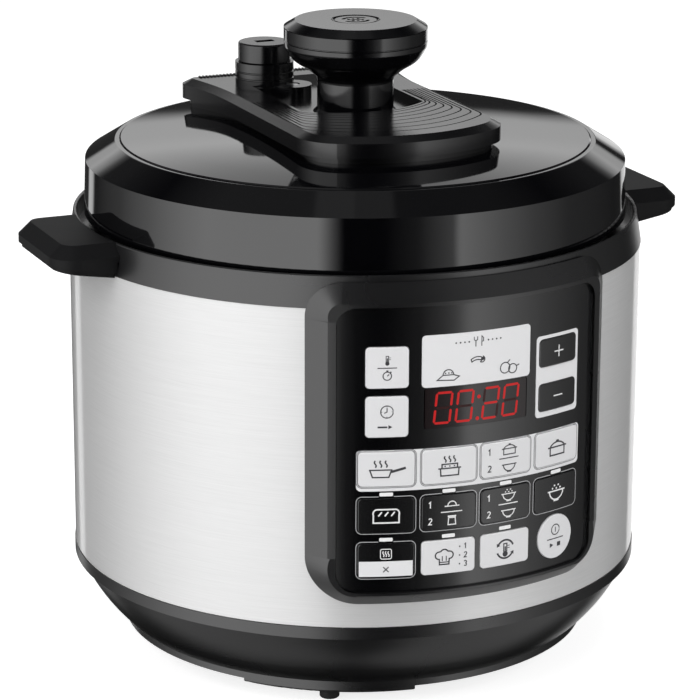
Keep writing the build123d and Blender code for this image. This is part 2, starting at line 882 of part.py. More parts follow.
# ---------------------------------------------------------------- vessel, pot and heating
terminal_places = ((terminal_x, terminal_y), (terminal_x, -terminal_y))
with BuildPart() as outer_vessel:
    pan(
        vessel_hole_radius, vessel_outer_radius, vessel_wall, vessel_bottom, vessel_top,
        vessel_corner_radius,
    )
    for i in range(lug_count):
        turn(
            (vessel_outer_radius - lug_root, lug_bottom), (vessel_outer_radius + lug_reach, lug_bottom),
            (vessel_outer_radius + lug_reach, lug_bottom + lug_thickness),
            (vessel_outer_radius - lug_root, lug_bottom + lug_thickness),
            start=front - lug_span / 2 + i * 360.0 / lug_count, span=lug_span,
        )
    for x, y in terminal_places:
        drum(terminal_hole_radius, vessel_bottom, vessel_floor, x, y, mode=Mode.SUBTRACT)
finish(outer_vessel, "outer_vessel")

with BuildPart() as heat_shield:
    pan(
        well_radius, shield_radius, shield_wall, vessel_bottom - shield_wall, shield_top,
        vessel_corner_radius + shield_wall,
    )
    turn(
        (0, well_floor - shield_wall), (well_radius + shield_wall, well_floor - shield_wall),
        (well_radius + shield_wall, vessel_bottom - shield_wall), (well_radius + shield_wall, vessel_bottom),
        (well_radius, vessel_bottom), (well_radius, well_floor), (0, well_floor),
    )
    for x, y in terminal_places:
        drum(terminal_hole_radius, vessel_bottom - shield_wall, vessel_bottom, x, y, mode=Mode.SUBTRACT)
finish(heat_shield, "heat_shield")

tube_height = plate_bottom + heater_tube_radius + seat_gap
with BuildPart() as heater_plate:
    drum(plate_radius, plate_bottom, plate_top)
    fillet(heater_plate.faces().sort_by(Axis.Z)[-1].edges(), plate_edge)
    drum(sensor_radius + sensor_gap, plate_bottom, plate_top, mode=Mode.SUBTRACT)
    groove_half = heater_tube_radius + seat_gap
    turn(
        (heater_ring_radius - groove_half, plate_bottom), (heater_ring_radius + groove_half, plate_bottom),
        (heater_ring_radius + groove_half, tube_height + heater_tube_radius),
        (heater_ring_radius - groove_half, tube_height + heater_tube_radius),
        mode=Mode.SUBTRACT,
    )
finish(heater_plate, "heater_plate")

with BuildPart() as heater_tube:
    with Locations((0, 0, tube_height)):
        Torus(heater_ring_radius, heater_tube_radius)
    for x, y in terminal_places:
        drum(terminal_radius, terminal_bottom, tube_height, x, y)
finish(heater_tube, "heater_tube")

with BuildPart() as temperature_sensor:
    drum(sensor_radius, plate_top - sensor_height / 2, plate_top)
    fillet(temperature_sensor.faces().sort_by(Axis.Z)[-1].edges(), sensor_edge)
    drum(sensor_radius / 3, well_floor + sensor_travel + fit_gap, plate_top - sensor_height / 2)
finish(temperature_sensor, "temperature_sensor")

spring_bottom = well_floor + spring_wire_radius
spring_height = plate_top - sensor_height / 2 - fit_gap - spring_wire_radius - spring_bottom
with BuildPart() as sensor_spring:
    with BuildLine() as coil:
        Helix(spring_height / spring_turns, spring_height, spring_radius, center=(0, 0, spring_bottom))
    with BuildSketch(Plane(origin=coil.line @ 0, z_dir=coil.line % 0)):
        Circle(spring_wire_radius)
    sweep(path=coil.line, is_frenet=True)
finish(sensor_spring, "sensor_spring")

with BuildPart() as thermal_fuse:
    block(
        fuse_x - fuse_clip_width / 2, fuse_x + fuse_clip_width / 2,
        fuse_y - fuse_clip_length / 2, fuse_y + fuse_clip_length / 2,
        post_top - fuse_clip_thickness, post_top,
    )
    fuse_height = post_top - fuse_clip_thickness - fuse_radius + fit_gap
    with Locations(Plane((fuse_x, fuse_y, fuse_height), z_dir=(0, 1, 0))):
        Cylinder(fuse_radius, fuse_length)
        Cylinder(fuse_lead_radius, fuse_lead_length)
finish(thermal_fuse, "thermal_fuse")

with BuildPart() as pressure_switch:
    drum(switch_radius, post_top - component_height, post_top, switch_x, switch_y)
    fillet(pressure_switch.faces().sort_by(Axis.Z)[0].edges(), switch_edge)
    for side in (-1, 1):
        blade_x = switch_x + side * switch_blade_shift
        block(
            blade_x - switch_blade_width / 2, blade_x + switch_blade_width / 2,
            switch_y - switch_blade_thickness / 2, switch_y + switch_blade_thickness / 2,
            lip_top + 2 * switch_edge, post_top - component_height,
        )
finish(pressure_switch, "pressure_switch")

with BuildPart() as power_board:
    board_side = board_x - board_width / 2
    board_front = board_y - board_length / 2
    board_surface = board_seat + board_thickness
    component_top = board_surface + component_height
    block(
        board_side, board_side + board_width, board_front, board_front + board_length,
        board_seat, board_surface,
    )
    block(
        board_side + filter_x, board_side + filter_x + filter_size,
        board_front + filter_y, board_front + filter_y + filter_size, board_surface, component_top,
    )
    for shift in (0.0, relay_pitch):
        block(
            board_side + relay_x, board_side + relay_x + relay_size,
            board_front + relay_y + shift, board_front + relay_y + shift + relay_size,
            board_surface, component_top - component_step,
        )
        drum(
            capacitor_radius, board_surface, component_top,
            board_side + capacitor_inset, board_front + capacitor_inset + shift,
        )
    block(
        board_side + connector_x, board_side + connector_x + connector_length,
        board_front + connector_y, board_front + connector_y + connector_width,
        board_surface, component_top - 2 * component_step,
    )
    block(
        board_side + fin_x, board_side + fin_x + fin_thickness,
        board_front + fin_y, board_front + fin_y + fin_length,
        board_surface, component_top - component_step,
    )
finish(power_board, "power_board")

with BuildPart() as inner_pot:
    pan(0, pot_radius, pot_wall, pot_bottom, pot_top, pot_corner_radius)
    turn(
        (pot_radius - pot_wall, pot_flange_bottom), (pot_flange_radius, pot_flange_bottom),
        (pot_flange_radius, pot_top), (pot_radius - pot_wall, pot_top),
    )
finish(inner_pot, "inner_pot")

# ---------------------------------------------------------------- lid
float_bore = float_radius + fit_gap + screw_hole - screw_radius
valve_stem_bore = valve_stem_radius + valve_stem_gap


def lid_bores(bottom, top):
    """Bores for the float valve and for the steam pipe."""
    drum(float_bore, bottom, top, float_x, float_y, mode=Mode.SUBTRACT)
    drum(valve_stem_radius / 2, bottom, top, valve_x, valve_y, mode=Mode.SUBTRACT)


with BuildPart() as lid_pressure_cover:
    turn(
        (0, cover_top - cover_wall), (cover_inner_radius, cover_top - cover_wall),
        (cover_inner_radius, cover_skirt_bottom), (cover_radius, cover_skirt_bottom),
        (cover_radius, cover_top - cover_edge), (cover_radius - cover_edge, cover_top), (0, cover_top),
    )
    for i in range(lug_count):
        turn(
            (vessel_outer_radius + lug_gap, lid_lug_top - lug_thickness),
            (cover_inner_radius + lug_root, lid_lug_top - lug_thickness),
            (cover_inner_radius + lug_root, lid_lug_top), (vessel_outer_radius + lug_gap, lid_lug_top),
            start=front + 180.0 / lug_count - lug_span / 2 + i * 360.0 / lug_count, span=lug_span,
        )
    drum(post_radius, gasket_top - post_drop, cover_top - cover_wall)
    drum(pipe_radius, cover_top, deck_bottom - seat_gap, valve_x, valve_y)
    lid_bores(cover_top - cover_wall, deck_bottom)
    with PolarLocations(lid_screw_circle, lid_screw_count, start_angle=lid_screws_start):
        Hole(screw_radius + fit_gap)
finish(lid_pressure_cover, "lid_pressure_cover")

with BuildPart() as lid_shell:
    with BuildSketch(Plane.XZ):
        with BuildLine():
            Polyline(
                (skirt_radius, skirt_bottom),
                (skirt_top_radius, skirt_top),
                (crown_radius, crown_height),
                (disc_radius + seat_gap, crown_height),
                (disc_radius + seat_gap, deck_top),
                (0, deck_top),
                (0, deck_bottom),
                (crown_radius - lid_wall, deck_bottom),
                (skirt_top_radius - lid_wall, skirt_top - lid_wall / 2),
                (skirt_radius - lid_wall, skirt_bottom),
                (skirt_radius, skirt_bottom),
            )
        make_face()
        fillet(vertices().group_by(Axis.Y)[-1].sort_by(Axis.X)[-1], crown_edge)
    revolve(axis=Axis.Z)
    with PolarLocations(lid_screw_circle, lid_screw_count, start_angle=lid_screws_start):
        with Locations((0, 0, cover_top + seat_gap)):
            Cylinder(boss_radius, deck_bottom - cover_top, align=(Align.CENTER, Align.CENTER, Align.MIN))
            Cylinder(
                screw_hole, boss_depth, align=(Align.CENTER, Align.CENTER, Align.MIN),
                mode=Mode.SUBTRACT,
            )
    lid_bores(deck_bottom, deck_top)
finish(lid_shell, "lid_shell")

with BuildPart() as lid_screws:
    with PolarLocations(lid_screw_circle, lid_screw_count, start_angle=lid_screws_start):
        with Locations((0, 0, cover_top - cover_wall)):
            Cylinder(screw_head_radius, screw_head, align=(Align.CENTER, Align.CENTER, Align.MAX))
            Cylinder(screw_radius, screw_length, align=(Align.CENTER, Align.CENTER, Align.MIN))
finish(lid_screws, "lid_screws")

dome_edge = deck_top + seat_gap
dome_radius = (disc_radius ** 2 + dome_rise ** 2) / (2 * dome_rise)
dome_centre = (0, 0, disc_crest - dome_radius)
with BuildPart() as disc_body:
    drum(disc_radius, dome_edge, disc_crest + disc_wall)
    with Locations(dome_centre):
        Sphere(dome_radius, mode=Mode.INTERSECT)
    disc_rims = disc_body.edges().sort_by(SortBy.LENGTH)[-2:]
    chamfer(disc_rims.sort_by(Axis.Z)[-1], disc_edge_chamfer)

with BuildPart() as lid_top_disc:
    add(disc_body.part)
    with BuildPart() as disc_hollow:
        drum(disc_radius - disc_wall, dome_edge - disc_wall, disc_crest)
        with Locations(dome_centre):
            Sphere(dome_radius - disc_wall, mode=Mode.INTERSECT)
    add(disc_hollow.part, mode=Mode.SUBTRACT)
    drum(float_bore, deck_top, disc_crest, float_x, float_y, mode=Mode.SUBTRACT)
    drum(valve_stem_bore, deck_top, disc_crest, valve_x, valve_y, mode=Mode.SUBTRACT)
finish(lid_top_disc, "lid_top_disc")

front_corner_y = -math.sqrt(bridge_front_radius ** 2 - bridge_front_half_width ** 2)
flare_middle = (
    (bridge_front_half_width * 3 + bridge_rear_half_width) / 4,
    (bridge_flare_start + bridge_rear) / 2,
)
with BuildSketch() as bridge_plan:
    with BuildLine():
        ThreePointArc(
            (-bridge_front_half_width, front_corner_y), (0, -bridge_front_radius),
            (bridge_front_half_width, front_corner_y),
        )
        Line((bridge_front_half_width, front_corner_y), (bridge_front_half_width, bridge_flare_start))
        ThreePointArc(
            (bridge_front_half_width, bridge_flare_start), flare_middle,
            (bridge_rear_half_width, bridge_rear),
        )
        Line((bridge_rear_half_width, bridge_rear), (-bridge_rear_half_width, bridge_rear))
        ThreePointArc(
            (-bridge_rear_half_width, bridge_rear), (-flare_middle[0], flare_middle[1]),
            (-bridge_front_half_width, bridge_flare_start),
        )
        Line((-bridge_front_half_width, bridge_flare_start), (-bridge_front_half_width, front_corner_y))
    make_face()
    fillet(bridge_plan.vertices().group_by(Axis.Y)[0], bridge_front_corner)
    fillet(bridge_plan.vertices().group_by(Axis.Y)[-1], bridge_rear_corner)

with BuildSketch() as bridge_foot:
    add(bridge_plan.sketch)
    offset(amount=-bridge_foot_inset, kind=Kind.INTERSECTION)


def step_outline(share):
    """Plan of one step round the knob; share 0 is the innermost step and 1 the outermost."""
    half_width = step_inner_half_width + share * (step_outer_half_width - step_inner_half_width)
    with BuildSketch() as outline:
        with Locations((0, step_inner_centre + share * (step_outer_centre - step_inner_centre))):
            Circle(step_inner_radius + share * (step_outer_radius - step_inner_radius))
        Rectangle(2 * half_width, 2 * bridge_front_radius, mode=Mode.INTERSECT)
        fillet(outline.vertices().group_by(Axis.Y)[0], step_corner)
    return outline.sketch


well_width = 2 * (bridge_front_half_width - rail_width)
well_rear = bridge_rear - rail_width
well_radius = step_inner_radius - step_margin
with BuildPart() as lid_bridge:
    extrude(bridge_plan.sketch.moved(Location((0, 0, bridge_bottom))), amount=bridge_top - bridge_bottom)
    top_face = lid_bridge.faces().sort_by(Axis.Z)[-1]
    chamfer(top_face.edges(), bridge_bevel_width, bridge_bevel_drop, reference=top_face)
    extrude(bridge_foot.sketch.moved(Location((0, 0, dome_edge))), amount=bridge_bottom - dome_edge)
    add(disc_body.part, mode=Mode.SUBTRACT)
    # Shallow well for the knob and the valves
    with BuildSketch(Plane.XY.offset(recess_floor)) as well_plan:
        with Locations((0, step_inner_centre)):
            Circle(well_radius)
            Rectangle(well_width, well_rear - step_inner_centre, align=(Align.CENTER, Align.MIN))
        Rectangle(well_width, 2 * well_rear, mode=Mode.INTERSECT)
    extrude(well_plan.sketch, amount=2 * bridge_recess, mode=Mode.SUBTRACT)
    # Grooves between the steps, which end on the two rails
    for i in range(step_count):
        ring = step_outline((i / (step_count - 1)) ** step_spread)
        with BuildSketch(Plane.XY.offset(bridge_top - step_groove_depth)) as groove:
            add(ring)
            offset(amount=step_groove_width, kind=Kind.INTERSECTION)
            add(ring, mode=Mode.SUBTRACT)
            with Locations((0, step_rear)):
                Rectangle(
                    2 * bridge_front_half_width, step_rear + bridge_front_radius,
                    align=(Align.CENTER, Align.MAX), mode=Mode.INTERSECT,
                )
        extrude(groove.sketch, amount=bridge_recess, mode=Mode.SUBTRACT)
    drum(valve_guard_radius, recess_floor, bridge_top, valve_x, valve_y, mode=Mode.SUBTRACT)
    drum(float_guard_radius, recess_floor, bridge_top, float_x, float_y, mode=Mode.SUBTRACT)
    drum(float_bore, deck_top, bridge_top, float_x, float_y, mode=Mode.SUBTRACT)
    drum(valve_stem_bore, deck_top, bridge_top, valve_x, valve_y, mode=Mode.SUBTRACT)
finish(lid_bridge, "lid_bridge")

cap_seam = knob_shoulder - knob_seam
knob_land_radius = knob_radius - knob_land
flare_top = flare_bottom + knob_flare_height
flare_points = [
    (stem_radius + out * (knob_radius - stem_radius), flare_bottom + up * knob_flare_height)
    for out, up in knob_flare
]
with BuildPart() as knob_body:
    with BuildSketch(Plane.XZ):
        with BuildLine():
            Polyline(
                (0, recess_floor),
                (stem_radius + stem_foot, recess_floor),
                (stem_radius, recess_floor + stem_foot),
            )
            Line((stem_radius, recess_floor + stem_foot), (stem_radius, flare_bottom))
            Spline(
                (stem_radius, flare_bottom), *flare_points, (knob_radius, flare_top),
                tangents=((0, 1), (0, 1)),
            )
            Polyline(
                (knob_radius, flare_top),
                (knob_radius - knob_seam, flare_top + fit_gap),
                (knob_radius - knob_seam, flare_top + 2 * fit_gap),
                (knob_radius, flare_top + 3 * fit_gap),
                (knob_radius, cap_seam),
                (knob_land_radius, cap_seam),
                (knob_land_radius, knob_split),
                (0, knob_split),
                (0, recess_floor),
            )
        make_face()
    revolve(axis=Axis.Z)
finish(knob_body, "knob_body")

with BuildPart() as knob_cap:
    turn(
        (0, knob_split + seat_gap), (knob_land_radius - seat_gap, knob_split + seat_gap),
        (knob_land_radius - seat_gap, cap_seam + seat_gap),
        (knob_radius - seat_gap / 2, cap_seam + seat_gap),
        (knob_radius, knob_shoulder), (knob_top_radius, knob_top), (knob_dimple_radius, knob_top),
        (knob_dimple_radius - knob_dimple_depth, knob_top - knob_dimple_depth),
        (0, knob_top - knob_dimple_depth),
    )
finish(knob_cap, "knob_cap")

with BuildPart() as valve_guard:
    drum(valve_guard_radius, recess_floor, valve_guard_top, valve_x, valve_y)
    drum(float_guard_radius, recess_floor, float_guard_top, float_x, float_y)
    for i in range(guard_grooves):
        with Locations((valve_x, valve_y, recess_floor + (i + 1) * guard_groove_pitch)):
            Torus(valve_guard_radius, guard_groove_radius, mode=Mode.SUBTRACT)
    drum(float_bore, recess_floor, float_guard_top, float_x, float_y, mode=Mode.SUBTRACT)
    drum(valve_stem_bore, recess_floor, valve_guard_top, valve_x, valve_y, mode=Mode.SUBTRACT)
finish(valve_guard, "valve_guard")

with BuildPart() as valve_cap:
    drum(valve_radius, valve_bottom, valve_top, valve_x, valve_y)
    fillet(valve_cap.faces().sort_by(Axis.Z)[-1].edges(), valve_edge)
    block(
        valve_x - valve_slot_length / 2, valve_x + valve_slot_length / 2,
        valve_y - valve_slot_width / 2, valve_y + valve_slot_width / 2,
        valve_top - valve_slot_depth, valve_top, mode=Mode.SUBTRACT,
    )
    drum(valve_stem_radius, deck_top + seat_gap, valve_bottom, valve_x, valve_y)
finish(valve_cap, "valve_cap")

with BuildPart() as float_valve:
    drum(float_radius, cover_top + seat_gap, float_guard_top - float_sink, float_x, float_y)
    drum(float_radius + float_foot, cover_top + seat_gap, cover_top + float_foot, float_x, float_y)
finish(float_valve, "float_valve")

with BuildPart() as liner_plate:
    drum(liner_radius, gasket_top, liner_top)
    drum(post_radius + fit_gap, gasket_top, liner_top, mode=Mode.SUBTRACT)
    with PolarLocations(heater_ring_radius, lug_count):
        Hole(liner_hole_radius)
finish(liner_plate, "liner_plate")

with BuildPart() as gasket:
    turn(
        (gasket_inner_radius + gasket_lip, gasket_bottom), (gasket_outer_radius, gasket_bottom),
        (gasket_outer_radius, gasket_top), (gasket_inner_radius, gasket_top),
        (gasket_inner_radius, gasket_top - gasket_lip),
        (liner_radius, gasket_top - gasket_lip - gasket_taper),
        (liner_radius, gasket_bottom + gasket_lip + gasket_taper),
        (gasket_inner_radius + gasket_lip, gasket_bottom + gasket_lip),
    )
finish(gasket, "gasket")

with BuildPart() as liner_nut:
    drum(nut_radius, gasket_top - fit_gap - nut_height, gasket_top - fit_gap)
    drum(post_radius, gasket_top - fit_gap - nut_height, gasket_top, mode=Mode.SUBTRACT)
finish(liner_nut, "liner_nut")

# ---------------------------------------------------------------- control panel
def corner_cone(side, up, corner, edge, ridge):
    """Sloping rounded corner of the bezel, tangent to the side slope and to the end slope."""
    centre_angle = bezel_half_angle - math.degrees(corner / sleeve_radius)
    outer_turn = math.radians(bezel_half_angle - centre_angle)
    ridge_turn = math.radians(ridge_half_angle - centre_angle)
    near = sleeve_radius * math.cos(outer_turn)
    far = bezel_ridge_radius * math.cos(ridge_turn)
    side_near = sleeve_radius * math.sin(outer_turn)
    side_far = bezel_ridge_radius * math.sin(ridge_turn)
    end_slope = abs(edge - ridge) / (bezel_ridge_radius - sleeve_radius)
    end_near = corner + (sleeve_radius - near) * end_slope
    end_far = corner - (far - sleeve_radius) * end_slope
    near_radius = (side_near + end_near) / 2
    far_radius = min(side_far, end_far)
    height = edge - up * corner
    with BuildSketch(face_plane(side * centre_angle, height, near)) as near_circle:
        with Locations((side * (side_near - near_radius), up * (end_near - near_radius))):
            Circle(near_radius)
    with BuildSketch(face_plane(side * centre_angle, height, far)) as far_circle:
        with Locations((side * (side_far - far_radius), up * (end_far - far_radius))):
            Circle(far_radius)
    loft([near_circle.sketch, far_circle.sketch], ruled=True)


def end_wedge(edge, ridge, middle, corner):
    """Sloping top or bottom end of the bezel, between its two corners."""
    span = 2 * (bezel_half_angle - math.degrees(corner / sleeve_radius))
    turn(
        (sleeve_radius - bezel_root, middle), (sleeve_radius - bezel_root, edge + (edge - ridge) / 2),
        (sleeve_radius, edge),
        (bezel_ridge_radius, ridge), (bezel_ridge_radius, middle),
        start=front - span / 2, span=span,
    )


bezel_middle = (bezel_bottom + bezel_top) / 2
panel_middle = (panel_bottom + panel_top) / 2
with BuildPart() as control_bezel:
    end_wedge(bezel_bottom, ridge_bottom, bezel_middle, bezel_bottom_corner)
    end_wedge(bezel_top, ridge_top, bezel_middle, bezel_top_corner)
    edge_angle = math.radians(bezel_half_angle)
    ridge_angle = math.radians(ridge_half_angle)
    edge_point = (sleeve_radius * math.sin(edge_angle), -sleeve_radius * math.cos(edge_angle))
    ridge_point = (bezel_ridge_radius * math.sin(ridge_angle), -bezel_ridge_radius * math.cos(ridge_angle))
    root = 1 - bezel_root / sleeve_radius
    with BuildSketch(Plane.XY.offset(bezel_bottom + bezel_bottom_corner)) as side_plan:
        with BuildLine():
            Polyline(
                (0, -sleeve_radius / 2), (edge_point[0] * root, edge_point[1] * root),
                edge_point, ridge_point,
                (ridge_point[0], -2 * bezel_ridge_radius), (-ridge_point[0], -2 * bezel_ridge_radius),
                (-ridge_point[0], ridge_point[1]), (-edge_point[0], edge_point[1]),
                (-edge_point[0] * root, edge_point[1] * root), close=True,
            )
        make_face()
    extrude(side_plan.sketch, amount=bezel_top - bezel_top_corner - bezel_bottom - bezel_bottom_corner)
    for side in (-1, 1):
        corner_cone(side, -1, bezel_bottom_corner, bezel_bottom, ridge_bottom)
        corner_cone(side, 1, bezel_top_corner, bezel_top, ridge_top)
    turn(
        (sleeve_radius + bezel_seat, ridge_bottom - 2 * bezel_bottom_slope),
        (bezel_ridge_radius, ridge_bottom - 2 * bezel_bottom_slope),
        (bezel_ridge_radius, ridge_top + 2 * bezel_top_slope),
        (sleeve_radius + bezel_seat, ridge_top + 2 * bezel_top_slope),
        mode=Mode.INTERSECT,
    )
    # Opening for the panel, with a narrow shelf behind it
    with BuildSketch(Plane.XZ.offset(sleeve_radius / 2)) as through:
        with Locations((0, panel_middle)):
            RectangleRounded(2 * opening_half_width, opening_height, panel_corner_radius - panel_shelf)
    extrude(through.sketch, amount=sleeve_radius, mode=Mode.SUBTRACT)
    with BuildPart() as pocket:
        turn(
            (panel_back - seat_gap, panel_bottom), (2 * panel_radius - panel_back, panel_bottom),
            (2 * panel_radius - panel_back, panel_top), (panel_back - seat_gap, panel_top),
            start=front - 1.5 * bezel_half_angle, span=3 * bezel_half_angle,
        )
        with BuildSketch(Plane.XZ.offset(sleeve_radius / 2)) as opening:
            with Locations((0, panel_middle)):
                RectangleRounded(2 * panel_half_width, panel_top - panel_bottom, panel_corner_radius)
        extrude(opening.sketch, amount=sleeve_radius, mode=Mode.INTERSECT)
    add(pocket.part, mode=Mode.SUBTRACT)
    add(top_collar.part, mode=Mode.SUBTRACT)
finish(control_bezel, "control_bezel")


def window_tile(margin, inner, outer):
    """The display window, grown by a margin."""
    left, right, bottom, top = window
    return tile(
        left - margin, right + margin, bottom - margin, top + margin, window_corner + margin, inner, outer,
    )


# Each key: name, place along the panel, height, width and height of its face
key_list = []
for row, height in enumerate(key_rows):
    for column, place in enumerate(key_columns):
        key_list.append(("key_row%d_%d" % (row + 1, column + 1), place, height, key_width, key_height))
key_list[-1] = ("key_start", key_columns[-1], key_rows[-1], 2 * start_key_radius, 2 * start_key_radius)
key_list.append(("key_temperature", -outer_column, temperature_key_z, tall_key_width, tall_key_height))
key_list.append(("key_delay", -outer_column, delay_key_z, tall_key_width, tall_key_height))
key_list.append(("key_plus", step_column, plus_key_z, step_key_width, step_key_height))
key_list.append(("key_minus", step_column, minus_key_z, step_key_width, step_key_height))


def key_corner(name):
    """The start key is round, the others have small corners."""
    return start_key_radius * 0.999 if name == "key_start" else key_corner_radius


def cut_apertures():
    """Cut the opening of every key."""
    for name, place, height, width, tall in key_list:
        radial_block(
            panel_angle(place), height, width + 2 * key_clearance, tall + 2 * key_clearance,
            key_corner(name) + key_clearance, flange_back, bezel_ridge_radius, mode=Mode.SUBTRACT,
        )


def indicator_blocks(outer, mode):
    """The small lamp windows above the keys of the lower two rows."""
    places = [(place, key_rows[1] + indicator_rise) for place in key_columns]
    places += [(place, key_rows[2] + indicator_rise) for place in key_columns[:-1]]
    for place, height in places:
        radial_block(
            panel_angle(place), height, indicator_width, indicator_height, indicator_corner,
            panel_back, outer, mode=mode,
        )


with BuildPart() as control_panel:
    turn(
        (panel_back, panel_bottom), (panel_radius, panel_bottom),
        (panel_radius, panel_top), (panel_back, panel_top),
        start=front - 1.5 * bezel_half_angle, span=3 * bezel_half_angle,
    )
    with BuildSketch(Plane.XZ.offset(sleeve_radius / 2)) as outline:
        with Locations((0, panel_middle)):
            RectangleRounded(
                2 * (panel_half_width - panel_margin), panel_top - panel_bottom - 2 * panel_margin,
                panel_corner_radius - panel_margin,
            )
    extrude(outline.sketch, amount=sleeve_radius, mode=Mode.INTERSECT)
    cut_apertures()
    for inlay in (menu_plate, key_strip, step_frame):
        add(tile(*inlay, inlay_corner, panel_radius - inlay_depth, bezel_ridge_radius), mode=Mode.SUBTRACT)
    add(window_tile(panel_margin, flange_front, bezel_ridge_radius), mode=Mode.SUBTRACT)
    indicator_blocks(bezel_ridge_radius, Mode.SUBTRACT)
finish(control_panel, "control_panel")

with BuildPart() as menu_inlays:
    for inlay in (menu_plate, key_strip, step_frame):
        add(tile(*inlay, inlay_corner, panel_radius - inlay_depth, panel_radius + inlay_proud))
    cut_apertures()
finish(menu_inlays, "menu_inlays")

with BuildPart() as indicator_lenses:
    indicator_blocks(panel_radius + inlay_proud / 2, Mode.ADD)
finish(indicator_lenses, "indicator_lenses")

with BuildPart() as display_lens:
    add(window_tile(0.0, panel_back, panel_radius + inlay_proud / 2))
finish(display_lens, "display_lens")

for name, place, height, width, tall in key_list:
    angle = panel_angle(place)
    with BuildPart() as key:
        radial_block(angle, height, width, tall, key_corner(name), flange_front, bezel_ridge_radius)
        drum(panel_radius + key_proud, bezel_bottom, bezel_top, mode=Mode.INTERSECT)
        face_edges = key.faces().sort_by(SortBy.DISTANCE)[-1].edges()
        fillet(face_edges, key_edge_radius)
        radial_block(
            angle, height, width, tall + 2 * key_flange, key_corner(name), flange_back, flange_front,
        )
    finish(key, name)

display_front = board_face + display_depth
with BuildPart() as display_module:
    block(
        -display_half_width, display_half_width, -display_front, -board_face,
        window[2] - display_margin, window[3] + display_margin,
    )
finish(display_module, "display_module")

mat_half_angle = panel_angle(mat_half_width)
mat_rim_angle = panel_angle(mat_side_rim)
rim_radius = sleeve_inner_radius - seat_gap
with BuildPart() as key_mat:
    add(tile(-mat_half_width, mat_half_width, mat_bottom, mat_top, inlay_corner, mat_back, mat_radius))
    turn(
        (mat_radius - mat_root, mat_bottom), (rim_radius, mat_bottom), (rim_radius, mat_bottom + mat_rim),
        (mat_radius - mat_root, mat_bottom + mat_rim),
        start=front - mat_half_angle + mat_rim_angle, span=2 * (mat_half_angle - mat_rim_angle),
    )
    for side in (-1, 1):
        turn(
            (mat_radius - mat_root, mat_bottom + inlay_corner), (rim_radius, mat_bottom + inlay_corner),
            (rim_radius, mat_top - inlay_corner), (mat_radius - mat_root, mat_top - inlay_corner),
            start=front + side * (mat_half_angle - panel_angle(mat_side_gap) - mat_rim_angle / 2)
            - mat_rim_angle / 2,
            span=mat_rim_angle,
        )
    block(
        -display_half_width - display_margin, display_half_width + display_margin,
        -sleeve_radius, -board_face,
        window[2] - 2 * display_margin, window[3] + 2 * display_margin, mode=Mode.SUBTRACT,
    )
finish(key_mat, "key_mat")

with BuildPart() as control_board:
    block(
        -board_half_width, board_half_width, -board_face, board_thickness - board_face,
        board_bottom, board_top,
    )
finish(control_board, "control_board")

with BuildPart() as control_housing:
    wall = board_half_width + housing_wall + housing_gap
    front_edge = math.sqrt((mat_back - seat_gap) ** 2 - wall ** 2)
    block(
        -wall, wall, -front_edge, -housing_depth,
        board_bottom - housing_gap - housing_wall, board_top + housing_gap + housing_wall,
    )
    block(
        housing_wall - wall, wall - housing_wall, -sleeve_radius, -housing_depth - housing_wall,
        board_bottom - housing_gap, board_top + housing_gap, mode=Mode.SUBTRACT,
    )
    post_start = housing_depth + housing_wall / 2
    for height in (board_bottom + housing_post_drop, board_top - housing_post_drop):
        for side in (-1, 1):
            post_x = side * (board_half_width - housing_post_inset)
            with Locations(Plane((post_x, -post_start, height), z_dir=(0, -1, 0))):
                Cylinder(
                    housing_post_radius, board_face - board_thickness - post_start,
                    align=(Align.CENTER, Align.CENTER, Align.MIN),
                )
finish(control_housing, "control_housing")

# ---------------------------------------------------------------- rear pieces
with BuildPart() as power_inlet:
    block(
        -inlet_width / 2, inlet_width / 2, flange_seat, inlet_face,
        inlet_centre - inlet_height / 2, inlet_centre + inlet_height / 2,
    )
    fillet(power_inlet.faces().sort_by(Axis.Y)[-1].edges(), inlet_edge)
    block(
        -socket_width / 2 - socket_wall, socket_width / 2 + socket_wall,
        inlet_face - socket_depth - socket_wall, flange_seat,
        inlet_centre - socket_height / 2 - socket_wall, inlet_centre + socket_height / 2 + socket_wall,
    )
    block(
        -socket_width / 2, socket_width / 2, inlet_face - socket_depth, inlet_face,
        inlet_centre - socket_height / 2, inlet_centre + socket_height / 2, mode=Mode.SUBTRACT,
    )
    for x, z in pin_places:
        block(
            x - pin_width / 2, x + pin_width / 2,
            inlet_face - socket_depth - pin_root, inlet_face - pin_recess,
            inlet_centre + z - pin_height / 2, inlet_centre + z + pin_height / 2,
        )
    for side in (-1, 1):
        with Locations(Plane((side * inlet_screw_spacing / 2, inlet_face, inlet_centre), z_dir=(0, 1, 0))):
            Hole(screw_hole)
finish(power_inlet, "power_inlet")

with BuildPart() as condensate_cup:
    block(-cup_width / 2, cup_width / 2, cup_back, 2 * bezel_ridge_radius, cup_top - cup_height, cup_top)
    drum(bezel_ridge_radius, cup_top - cup_height, cup_top, mode=Mode.INTERSECT)
    with BuildPart() as hollow:
        block(
            cup_wall - cup_width / 2, cup_width / 2 - cup_wall, cup_back + cup_wall, bezel_ridge_radius,
            cup_top - cup_height + cup_wall, cup_top + cup_wall,
        )
        drum(bezel_ridge_radius - cup_wall, cup_top - cup_height, cup_top + cup_wall, mode=Mode.INTERSECT)
    add(hollow.part, mode=Mode.SUBTRACT)
finish(condensate_cup, "condensate_cup")
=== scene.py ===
"""Finishes, prints and small fittings of the electric pressure cooker, laid out as a Blender add-on."""

import math

import bmesh
import bpy
from bpy.props import FloatProperty, FloatVectorProperty, IntProperty, PointerProperty
from mathutils import Matrix, Vector


